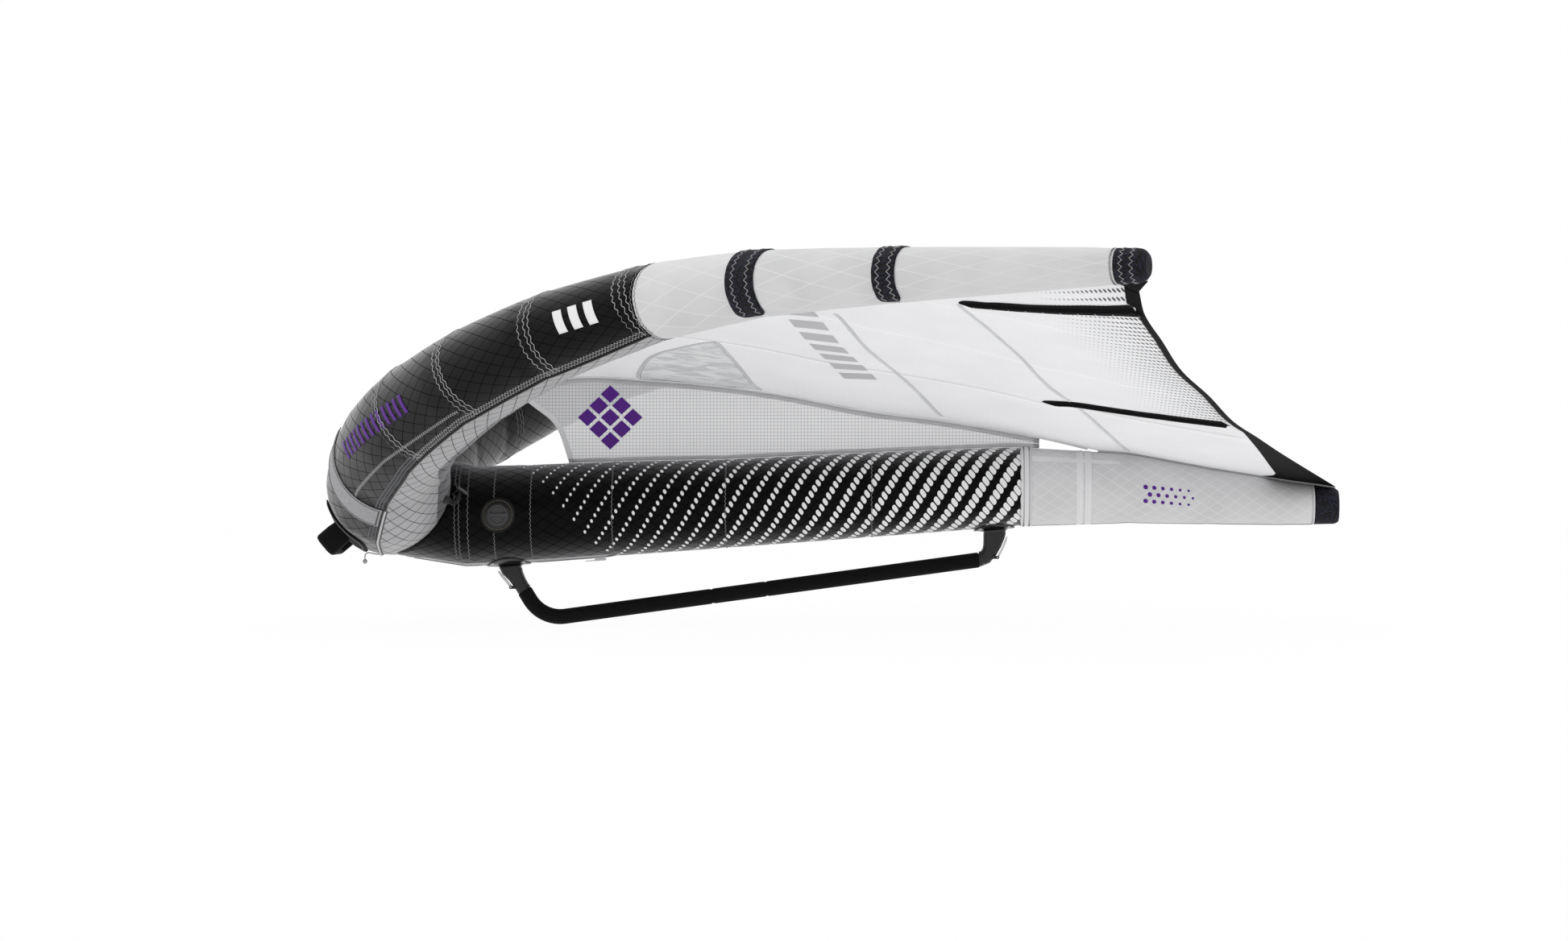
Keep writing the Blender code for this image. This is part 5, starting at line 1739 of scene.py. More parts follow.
@dataclass
class Strut:
    """Casings and inner tube of the strut."""

    around: int = 80
    ring_step: float = 0.010
    wall: float = 0.0008
    gap: float = 0.0003  # between two casings at their seam
    tail_sides: int = 64
    bladder_sides: int = 40
    bladder_inset: float = 0.004
    keel: Point = (-0.815, -0.424)
    keel_angle: float = 19.0
    keel_tapes: tuple[tuple[str, float, float], ...] = (("seam", -0.800, -0.668), ("zip", -0.565, -0.415))
    zip_teeth: Row = (-0.560, -0.455, 0.0030)  # first and last tooth, and the step
    zip_tooth: tuple[Ring, ...] = (
        (0.0009, 0.0019, 4, 0.0008), (0.0009, 0.0019, 4, 0.0019), (0.0006, 0.0015, 4, 0.0021),
    )
    front_waves: Row = (-0.713, -0.705, -0.688)
    rear_rings: Point = (0.4805, 0.5025)
    band: Point = (0.3715, 0.3905)
    scallop: float = 0.0022
    rear_tapes: Point = (0.4835, 0.4995)
    under_tape: Point = (0.392, 0.930)
    dots: Point = (0.0165, 0.0135)  # step along a row, and from row to row

    def uv(self, x: float, angle: float) -> Point:
        """UV of a point: x, and the arc up from the bottom line on either side."""
        return (x, BEAM.radius(x) * math.radians(abs(180 - angle)))

    def skin(self, stock: Stock, stations: Sequence[float], slot: int = 0) -> None:
        """Adds a stretch of the strut, in two halves that meet on top and below.

        Args:
            stock: the piece that gathers it.
            stations: x of each ring.
            slot: the material slot.
        """
        half = self.around // 2
        for start in (0, 180):
            angles = [start + 180 * i / half for i in range(half + 1)]
            stock.mapped([[(x, a) for a in angles] for x in stations], BEAM.point, self.uv, slot)

    def build(self, nose: BVHTree) -> None:
        """Builds the strut. Its front is shaped to the leading edge.

        Args:
            nose: the leading edge's skin.
        """
        stock = Stock()
        self.skin(stock, spread(STRUT_FRONT_SEAM, STRUT_COLOUR_BREAK, self.ring_step))
        self.skirt(stock, nose)
        stock.piece(
            "strut_front", PRINTED_CLOTH, slot="black_cloth", replaces=("strut_casing_front",),
            wall=self.wall, outward=BEAM.normal(0, 2),
        )
        stock = Stock()
        self.skin(stock, spread(STRUT_COLOUR_BREAK + self.gap, TAIL_SEAM, self.ring_step))
        stock.piece(
            "strut_rear", STRUT_LIGHT_CLOTH, slot="light_cloth", replaces=("strut_casing_rear",),
            wall=self.wall, outward=BEAM.normal(0, 2),
        )
        stock = Stock()
        rings = []
        for share in spread(0.0, 1.0, 0.1):
            x = TAIL_SEAM + self.gap + (TAIL_END - TAIL_SEAM - self.gap) * share
            shrink = -0.004 * max(0.0, (share - 0.8) / 0.2) ** 2
            rings.append([BEAM.point(x, 360 * i / self.tail_sides, shrink) for i in range(self.tail_sides)])
        stock.loft(rings, (False, True))
        stock.piece(
            "strut_tail_end", BAND_WEAVE, slot="black_cloth", replaces=("strut_tail_cap",), wall=self.wall
        )
        stock = Stock()
        sides = self.bladder_sides
        hoop = lambda x: [BEAM.point(x, 360 * i / sides, -self.bladder_inset) for i in range(sides)]
        stock.loft([hoop(x) for x in spread(-0.685, 0.922, 0.03)])
        stock.piece("strut_inner_tube", BLADDER, slot="bladder_film", replaces=("strut_bladder",))
        self.build_threads()
        self.build_tapes()
        self.build_keel()
        self.build_emblem()
        self.build_zip()

    def ring(self, x: float, angles: Point, lift: float = 0.0, sway: float = 0.0) -> list[Spot]:
        """A route round the strut.

        Args:
            x: where it crosses the top.
            angles: where it starts and ends.
            lift: its height over the cloth.
            sway: how far it leans aft on its way down.

        Returns:
            The points with their normals.
        """
        found = []
        for angle in spread(*angles, 3.0):
            here = x + sway * (1 - math.cos(math.radians(angle))) / 2
            found.append((BEAM.point(here, angle, lift), BEAM.normal(here, angle)))
        return found

    def line(self, start: float, end: float, angle: float, lift: float = 0.0) -> list[Spot]:
        """A route along the strut at one angle."""
        return [(BEAM.point(x, angle, lift), BEAM.normal(x, angle)) for x in spread(start, end, 0.01)]

    def build_threads(self) -> None:
        """Wavy rings at the front seam, and rows at the other seams."""
        stock = Stock()
        for number, x in enumerate(self.front_waves):
            wavy = Stitch(StitchKind.WAVE, pitch=0.0095 + 0.0008 * number, swing=0.0012, thread=0.00055)
            wavy.sew(stock, self.ring(x, (14, 346)), 0)
        wavy = Stitch(StitchKind.WAVE, pitch=0.0090, swing=0.0012, thread=0.00055)
        for angles in ((14, 71), (109, 346)):
            wavy.sew(stock, self.ring(-0.638, angles), 0)
        for seam in STRUT[3:7]:
            wavy.sew(stock, self.ring(seam[0] + 0.004, (3, 357)), 0)
        fine = Stitch(StitchKind.ZIGZAG, pitch=0.0045, swing=0.0012, thread=0.0005)
        for x in (*self.rear_rings, TAIL_SEAM - 0.004):
            fine.sew(stock, self.ring(x, (3, 357)), 1)
        for angle in (176, 184):
            fine.sew(stock, self.line(0.400, 0.925, angle), 1)
        stock.piece("strut_thread", (DULL_THREAD, THREAD))

    def build_tapes(self) -> None:
        """The scalloped band at the colour break, the rear band, and piping under the canopy's rear."""
        stock = Stock()
        front, rear = self.band
        arc = lambda x, angle: (x, BEAM.radius(0.38) * math.radians(angle))
        spots = []
        for angle in spread(0.0, 360.0, 1.5):
            edge = front - self.scallop * abs(math.sin(math.radians(angle * 9)))
            spots.append([(edge + (rear - edge) * k / 4, angle) for k in range(5)])
        stock.mapped(spots, lambda x, angle: BEAM.point(x, angle, 0.0004), arc)
        stock.piece(
            "strut_scalloped_band", HEM_CLOTH, wall=0.0006, wall_side=1.0, outward=BEAM.normal(0.38, 1)
        )
        stock = Stock()
        for x in self.rear_tapes:
            stock.tape(self.ring(x, (2, 358), 0.0002), 0.0125, 0.0006)
        stock.tape(self.line(*self.under_tape, 180, 0.0002), 0.018, 0.0005)
        for angle in (44, 316):
            route = self.line(0.392, 0.560, angle, 0.0002)
            stock.tape(route, [0.0150 - 0.0060 * i / len(route) for i in range(len(route))], 0.0004)
        stock.piece("strut_light_tapes", HEM_CLOTH)
        stock = Stock()
        for angle in (7, 353):
            stock.tube(points_of(self.line(0.520, 0.975, angle, 0.0016)), 0.0019, 8)
        for angle in (176.5, 183.5):
            under = points_of(self.line(-0.665, -0.424, angle, 0.0004))
            stock.tube([point for point in under if not -0.664 < point.x < -0.569], 0.0016, 8)
        stock.piece("strut_piping", PALE_PIPING)
        thread = Stock()
        row = Stitch(StitchKind.ZIGZAG, pitch=0.0045, swing=0.0012, thread=0.0005)
        for x in (front + 0.0050, rear - 0.0035):
            row.sew(thread, self.ring(x, (2, 358), 0.0010))
        thread.piece("strut_band_thread", DULL_THREAD)

    def build_keel(self) -> None:
        """Woven tapes along the bottom line, a broad light one under the narrow seam and zip tapes."""
        down = Vector((0, 0, -1))
        uv = lambda x, angle: (x, BEAM.radius(x) * math.radians(angle))
        stock = Stock()
        spots = []
        for x in spread(*self.keel, 0.010):
            half = self.keel_angle * min(1.0, 0.25 + (x - self.keel[0]) / 0.05)
            spots.append([(x, 180 + half * k / 4) for k in range(-4, 5)])
        stock.mapped(spots, lambda x, angle: BEAM.point(x, angle, 0.0002), uv)
        stock.piece("strut_keel_tape", KEEL_TAPE, wall=0.0004, wall_side=1.0, outward=down)
        thread = Stock()
        row = Stitch(StitchKind.ZIGZAG, pitch=0.0050, swing=0.0012, thread=0.0005)
        for title, start, end in self.keel_tapes:
            stock = Stock()
            spots = [[(x, angle) for angle in spread(171.0, 189.0, 2.0)] for x in spread(start, end, 0.006)]
            stock.mapped(spots, lambda x, angle: BEAM.point(x, angle, 0.0007), uv)
            stock.piece(
                f"strut_{title}_webbing", WEBBING, slot="webbing", replaces=(f"strut_{title}_tape",),
                wall=0.0006, wall_side=1.0, outward=down,
            )
            for angle in (172.0, 188.0):
                row.sew(thread, self.line(start + 0.003, end - 0.003, angle, 0.0013))
        thread.piece("strut_keel_thread", DARK_THREAD)

    def build_emblem(self) -> None:
        """A small grid of printed purple dots on each side of the rear casing."""
        stock = Stock()
        step, rise = self.dots
        for angle, up in ((97.0, 1), (263.0, -1)):
            for row in range(3):
                for column in range(6):
                    place = around_strut(0.6085 + column * step + (0.008 if row % 2 else 0.0), angle)
                    offset = up * (row - 1) * rise
                    size = 0.0044 - 0.0004 * column
                    dot = lambda a, b, lift: place(a, b + offset, lift)
                    stock.pad(dot, ((size, size, 2, 0.0001), (size, size, 2, 0.0005)), 20)
        stock.piece("strut_printed_dots", PURPLE_INK)

    def build_zip(self) -> None:
        """Teeth of the zip along its tape, in two rows that mesh."""
        stock = Stock()
        for number, x in enumerate(spread(*self.zip_teeth)):
            place = around_strut(x, 180 + (0.9 if number % 2 else -0.9))
            stock.pad(place, self.zip_tooth, 12)
        stock.piece("strut_zip_teeth", NYLON)

    def skirt(self, stock: Stock, nose: BVHTree) -> None:
        """Adds the cloth from the front seam to the leading edge.

        Args:
            stock: the piece that gathers it.
            nose: the leading edge's skin.
        """
        half = self.around // 2
        steps = 8
        for start_angle in (0, 180):
            columns = []
            for i in range(half + 1):
                angle = start_angle + 180 * i / half
                start = BEAM.point(STRUT_FRONT_SEAM, angle)
                aim = (BEAM.point(STRUT[0][0], angle) - start).normalized()
                end = nose.ray_cast(start, aim)[0]
                while nose.find_nearest(end)[3] < 0.0012:
                    end -= aim * 0.0005
                places = [start.lerp(end, k / steps) for k in range(steps + 1)]
                columns.append([(place, self.uv(place.x, angle)) for place in places])
            rows = list(zip(*columns))
            stock.grid([points_of(row) for row in rows], [[uv for _, uv in row] for row in rows])


@dataclass
class NoseHandle:
    """Padded carrying handle under the nose: a backing plate and a ribbed grip."""

    plate_angles: Point = (190.0, 247.0)
    plate_reach: float = 0.085
    plate_top: float = 0.0050
    plate_edge: float = 0.0012  # how far its edge rounds off
    thread_inset: float = 0.006
    grip_angle: float = 220.0
    grip_half_width: float = 0.024
    grip_sides: int = 40
    rib: float = 0.0007
    rib_pitch: float = 0.0075
    arch: tuple[Row, ...] = (  # station, outer y and r, inner y and r, r from the tube's centre
        (0, 0.0780, 0.1130, 0.0500, 0.1182),
        (1, 0.0775, 0.1290, 0.0498, 0.1300),
        (2, 0.0768, 0.1430, 0.0492, 0.1420),
        (3, 0.0750, 0.1565, 0.0478, 0.1474),
        (4, 0.0680, 0.1618, 0.0440, 0.1492),
        (5, 0.0520, 0.1622, 0.0390, 0.1496),
        (6, 0.0260, 0.1622, 0.0240, 0.1496),
        (7, 0.0000, 0.1622, 0.0000, 0.1496),
    )

    def grip_ring(self, station: float, side: int) -> list[Vector]:
        """The grip's section at a station.

        Args:
            station: along the arch, 0 at the foot and 7 in the middle.
            side: 1 on the right and -1 on the left.

        Returns:
            The points round it.
        """
        _, outer_y, outer_r, inner_y, inner_r = smooth_between(self.arch, station)
        turn = math.radians(self.grip_angle)
        outward = Vector((math.cos(turn), 0, math.sin(turn)))
        level = Vector((-math.sin(turn), 0, math.cos(turn)))
        centre = Vector(LEADING_EDGE[0][1:4])
        outer = centre + Vector((0, side * outer_y, 0)) + outward * outer_r
        inner = centre + Vector((0, side * inner_y, 0)) + outward * inner_r
        middle, half = (outer + inner) / 2, (outer - inner) / 2
        rib = self.rib * math.sin(2 * math.pi * outer_y / self.rib_pitch) if station > 3.6 else 0.0
        width = self.grip_half_width * (1.0 if station > 1 else 0.94 + 0.06 * station)
        ring = []
        for u, v in circle(self.grip_sides):
            out = boxed(v, 2 / 3.0)
            place = middle + level * width * boxed(u, 2 / 3.4) + half * out
            ring.append(place + outward * rib * max(0.0, out))
        return ring

    def build(self) -> None:
        """Builds plate, grip and the thread round the plate."""
        low, high = self.plate_angles
        place = around_tube(0.0, (low + high) / 2)
        reach, half_width = self.plate_reach, math.radians((high - low) / 2) * TUBE.radius(0)
        rounding = self.plate_edge
        rings = [(0.02, 0.02, 2, 0.0018)]
        rings += [(reach * s, half_width * s, 5, 0.0018) for s in (0.3, 0.6, 0.9, 0.985)]
        rings += [(reach, half_width, 5, 0.0030), (reach - rounding, half_width - rounding, 5, 0.0046)]
        rings += [(reach * s, half_width * s, 5, self.plate_top) for s in (0.9, 0.6, 0.3)]
        stock = Stock()
        stock.pad(place, rings, 72)
        plate = stock.piece("handle_backing", FOAM, slot="foam", replaces=("nose_handle_plate",))
        stock = Stock()
        stations = spread(0.0, 7.0, 0.10)
        rings = [self.grip_ring(s, -1) for s in stations] + [self.grip_ring(s, 1) for s in stations[-2::-1]]
        stock.loft(rings)
        grip = stock.piece("handle_padded_grip", FOAM, slot="foam", replaces=("nose_handle_grip",))
        thread = Stock()
        reach_u, reach_v = reach - self.thread_inset, half_width - self.thread_inset
        route = []
        for u, v in circle(120, True):
            route.append(spot_on(place, boxed(u, 0.4) * reach_u, boxed(v, 0.4) * reach_v, self.plate_top))
        Stitch(StitchKind.STRAIGHT, pitch=0.004, thread=0.0007).sew(thread, route)
        thread.piece("handle_thread", DULL_THREAD)


@dataclass
class Pigtail:
    """Short elastic cord with a bead, hanging under the nose."""

    diameter: float = 0.0025
    knots: tuple[Row, ...] = (
        (0, -0.8660, -0.030, 0.1345),
        (1, -0.8740, -0.030, 0.1358),
        (2, -0.8820, -0.030, 0.1375),
        (3, -0.8885, -0.030, 0.1375),
        (4, -0.8920, -0.030, 0.1342),
        (5, -0.8928, -0.030, 0.1300),
        (6, -0.8928, -0.030, 0.1262),
    )

    def build(self) -> None:
        """Builds the cord, and gives the bead its finish."""
        route = [Vector(smooth_between(self.knots, k)[1:]) for k in spread(0.0, 6.0, 0.125)]
        stock = Stock()
        stock.tube(route, self.diameter / 2, 12)
        cord = stock.piece("pigtail_elastic", CORD_BRAID, slot="pale_cord", replaces=("pigtail_cord",))
        finished("pigtail_bead", BEAD_PLASTIC)


@dataclass
class TransferHose:
    """Short ribbed air hose in the corner between leading edge and strut, pushed into two fittings."""

    radius: float = 0.0048
    rib: float = 0.0002
    rib_pitch: float = 0.0040
    on_tube: Point = (-0.165, -27.0)  # distance and angle of its fitting on the leading edge
    on_strut: Point = (-0.712, 63.0)  # x and angle of its fitting on the strut
    stand_off: float = 0.0002
    fitting_length: float = 0.011
    in_fitting: float = 0.006
    lead: float = 0.0074
    belly: tuple[float, float, float] = (0.010, -0.008, 0.0)

    def end(self, skin: LeadingEdgeSkin | StrutSkin, where: Point) -> list[Vector]:
        """Points of one end of the hose.

        Args:
            skin: what its fitting stands on.
            where: the fitting's place on it.

        Returns:
            The end in the fitting, the fitting's mouth, and the end of the straight stretch past it.
        """
        foot = skin.point(*where, self.stand_off)
        outward = (skin.point(*where, 0.01) - skin.point(*where)).normalized()
        reaches = (-self.in_fitting, 0.0, self.lead)
        return [foot + outward * (self.fitting_length + reach) for reach in reaches]

    def build(self) -> None:
        """Builds the hose."""
        tube, beam = LeadingEdgeSkin(), StrutSkin()
        tube.roundness = tube.seam_dip = beam.seam_dip = 0.0
        front, rear = self.end(tube, self.on_tube), self.end(beam, self.on_strut)
        middle = (front[-1] + rear[-1]) / 2 + Vector(self.belly)
        knots = front + [middle] + rear[::-1]
        rows = [(0.0, *knots[0])]
        for a, b in zip(knots, knots[1:]):
            rows.append((rows[-1][0] + (b - a).length, *b))
        stations = spread(0.0, rows[-1][0], self.rib_pitch / 6)
        route = [Vector(smooth_between(rows, d)[1:]) for d in stations]
        sizes = [self.radius + self.rib * math.cos(2 * math.pi * d / self.rib_pitch) for d in stations]
        stock = Stock()
        stock.tube(route, sizes, 20)
        hose = stock.piece("transfer_air_hose", RUBBER, replaces=("transfer_hose",))


@dataclass
class Valve:
    """Inflation valve on the strut's left side, in a stitched patch."""

    x: float = -0.630
    patch_hole: float = 0.0265
    patch_radius: float = 0.0345
    brown_seam: float = 0.0280
    dark_seam: float = 0.0316
    cap_radius: float = 0.0207
    cap_from: float = 0.0052  # height of its underside over the strut's side
    cap_rim: float = 0.0076
    cap_sides: int = 160
    bar_top: float = 0.0096
    bar_half: float = 0.0050
    dish_radius: float = 0.0158
    dish_floor: float = 0.0062
    notches: int = 40
    notch_depth: float = 0.0004

    def build(self) -> None:
        """Builds the patch with its rings of thread and finishes the moulded pieces."""
        place = around_strut(self.x, 90)
        radii = [self.patch_hole + (self.patch_radius - self.patch_hole) * k / 3 for k in range(4)]
        spots = [[(r * u, r * v) for r in radii] for u, v in circle(72, True)]
        stock = Stock()
        stock.mapped(spots, lambda u, v: place(u, v, 0.0005), lambda u, v: (u, v))
        stock.piece("valve_patch", EDGE_CLOTH, wall=0.0006, wall_side=1.0, outward=BEAM.normal(self.x, 90))
        thread = Stock()
        brown = Stitch(StitchKind.ZIGZAG, pitch=0.0036, swing=0.0011, thread=0.0007)
        dark = Stitch(StitchKind.ZIGZAG, pitch=0.0040, swing=0.0010, thread=0.0005)
        for radius, slot, kind in ((self.brown_seam, 0, brown), (self.dark_seam, 1, dark)):
            route = [spot_on(place, radius * u, radius * v, 0.0010) for u, v in circle(96, True)]
            kind.sew(thread, route, slot)
        thread.piece("valve_patch_thread", (BROWN_THREAD, DARK_THREAD))
        finished("valve_base", NYLON)
        finished("valve_plug", VALVE_GREY)
        self.build_cap()

    def cap_height(self, across: float, up: float) -> float:
        """Height of the cap's outer face over the strut's side.

        Args:
            across: distance from its middle along the bar.
            up: distance from its middle over the bar.

        Returns:
            The height.
        """
        far = math.hypot(across, up)
        rim = self.cap_rim - 0.0011 * max(0.0, (far - self.cap_radius + 0.0016) / 0.0016) ** 2
        inside = min(1.0, max(0.0, (self.dish_radius - far) / 0.0010))
        dish = rim + (self.dish_floor - rim) * inside
        waist = self.bar_half * (0.78 + 0.22 * min(1.0, abs(across) / self.dish_radius) ** 2)
        on_bar = min(1.0, max(0.0, (waist - abs(up)) / 0.0012))
        top = rim + (self.bar_top - rim) * (1 - min(1.0, abs(across) / (self.dish_radius + 0.003)) ** 4)
        return dish + (max(top, dish) - dish) * on_bar * on_bar * (3 - 2 * on_bar)

    def build_cap(self) -> None:
        """The screw cap: a dished disc with a finger bar across it, notched round its rim."""
        _, height, radius = between(STRUT, self.x)
        sides, steps = self.cap_sides, 56
        stock = Stock()
        spot = lambda across, up, out: Vector((self.x + across, -radius - out, height + up))
        rings = []
        for out in (self.cap_from, self.cap_from + 0.0003):
            rings.append([spot(*self.on_rim(i / sides, 0.0), out) for i in range(sides)])
        for k in range(steps):
            ring = [self.on_rim(i / sides, self.cap_radius * k / steps) for i in range(sides)]
            rings.append([spot(*where, self.cap_height(*where)) for where in ring])
        stock.loft(rings)
        stock.piece("valve_screw_cap", VALVE_GREY, body="valve_cap", replaces=("valve_cap",))

    def on_rim(self, share: float, inset: float) -> Point:
        """A point of a ring of the cap.

        Args:
            share: share of the way round it.
            inset: how far the ring lies inside the rim.

        Returns:
            Its distance along the bar and over it.
        """
        turn = 2 * math.pi * share
        notch = self.notch_depth * (1 - math.cos(turn * self.notches)) / 2 * bell(inset / 0.0010)
        reach = self.cap_radius - inset - notch
        return reach * math.cos(turn), reach * math.sin(turn)


@dataclass
class Hardware:
    """Finishes of the moulded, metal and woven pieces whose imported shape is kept."""

    finishes: tuple[tuple[str, Finish], ...] = (
        ("hose_fitting_leading_edge", NYLON),
        ("hose_fitting_strut", NYLON),
        ("pinch_clip_body", NYLON),
        ("pinch_clip_lever", VALVE_GREY),
        ("zip_slider", STEEL),
        ("front_socket", NYLON),
        ("rear_socket", NYLON),
        # The latches' light grey is partly a painted highlight along the mounts' edges.
        ("front_latch", LATCH_PLASTIC_AND_HIGHLIGHT),
        ("rear_latch", LATCH_PLASTIC_AND_HIGHLIGHT),
        ("front_latch_pin", STEEL),
        ("rear_latch_pin", STEEL),
        ("boom_tube", CARBON),
    )

    def build(self) -> None:
        """Gives each node its finish."""
        for node, finish in self.finishes:
            finished(node, finish)
            LOG.info("%s: kept shape with %s", node, finish.name)


@dataclass
class Mount:
    """A moulded pad under the strut, flaring like a trumpet from the tongue that the boom slides onto."""

    name: str
    replaced: str
    x: float
    half_length: float
    half_width: float
    neck: Row  # its front x, rear x and the height of the socket under it
    tongue_x: float
    tongue: Row = (0.024, 0.014, 0.0160)
    sides: int = 64
    over_cloth: float = 0.0040
    over_socket: float = 0.00015
    pad: tuple[Point, ...] = (  # scale and height of the pad's rings
        (0.3, 0.0010), (0.7, 0.0010), (0.98, 0.0010), (1.0, 0.0018), (0.992, 0.0034), (0.97, 0.0040),
    )
    screw_reach: Point = (0.68, 0.62)
    screw: tuple[Ring, ...] = (
        (0.0040, 0.0040, 2, 0.0030), (0.0040, 0.0040, 2, 0.0052), (0.0034, 0.0034, 2, 0.0060),
        (0.0019, 0.0019, 2, 0.0060), (0.0017, 0.0017, 2, 0.0044),
    )

    def build(self) -> None:
        """Builds the pad with its neck and tongue, and four screws."""
        place = around_strut(self.x, 180)
        stock = Stock()
        rings = []
        for scale, lift in self.pad:
            half_u, half_v = self.half_length * scale, self.half_width * scale
            rings.append([place(half_u * u, half_v * v, lift) for u, v in circle(self.sides)])
        rings += [self.flare(place, share) for share in spread(0.10, 1.0, 0.10)]
        stock.loft(rings)
        length, width, height = self.tongue
        foot = self.neck[2] + self.over_socket
        low = foot - height
        rings = []
        for z, shrink in ((foot + 0.002, 0.0), (low + 0.002, 0.0), (low + 0.0006, 0.0006), (low, 0.002)):
            half_u, half_v = length / 2 - shrink, width / 2 - shrink
            corners = [(boxed(u, 0.35) * half_u, boxed(v, 0.35) * half_v) for u, v in circle(32)]
            rings.append([Vector((self.tongue_x + u, v, z)) for u, v in corners])
        stock.loft(rings)
        stock.piece(self.name, GLOSSY_NYLON, slot="moulded_plastic", replaces=(self.replaced,))
        self.build_screws(place)

    def flare(self, place: Surface, share: float) -> list[Vector]:
        """A ring of the hollow curve between the pad's edge and the neck's foot.

        Args:
            place: the strut's surface.
            share: 0 at the pad's edge and 1 at the foot.

        Returns:
            The ring.
        """
        front, rear, socket = self.neck
        middle, half, foot = (front + rear) / 2, (rear - front) / 2 - 0.001, socket + self.over_socket
        scale, lift = self.pad[-1]
        bend = 1 - (1 - share) ** 2.6
        ring = []
        for u, v in circle(self.sides):
            edge = place(self.half_length * scale * u, self.half_width * scale * v, lift)
            neck = Vector((middle + boxed(u, 0.5) * half, boxed(v, 0.5) * self.tongue[1], foot))
            flat = edge.lerp(neck, bend)
            _, height, radius = between(STRUT, flat.x)
            below = height - math.sqrt((radius + self.over_cloth) ** 2 - flat.y**2)
            flat.z = min(edge.z + (foot - edge.z) * share**1.7, below + (foot - below) * share**3)
            ring.append(flat)
        return ring

    def build_screws(self, place: Surface) -> None:
        """Four countersunk screws with a recess.

        Args:
            place: the strut's surface.
        """
        stock = Stock()
        reach_u, reach_v = self.half_length * self.screw_reach[0], self.half_width * self.screw_reach[1]
        for u0, v0 in ((-reach_u, -reach_v), (reach_u, -reach_v), (-reach_u, reach_v), (reach_u, reach_v)):
            stock.pad(lambda u, v, lift: place(u0 + u, v0 + v, lift), self.screw, 18)
        stock.piece(self.name + "_screws", STEEL)


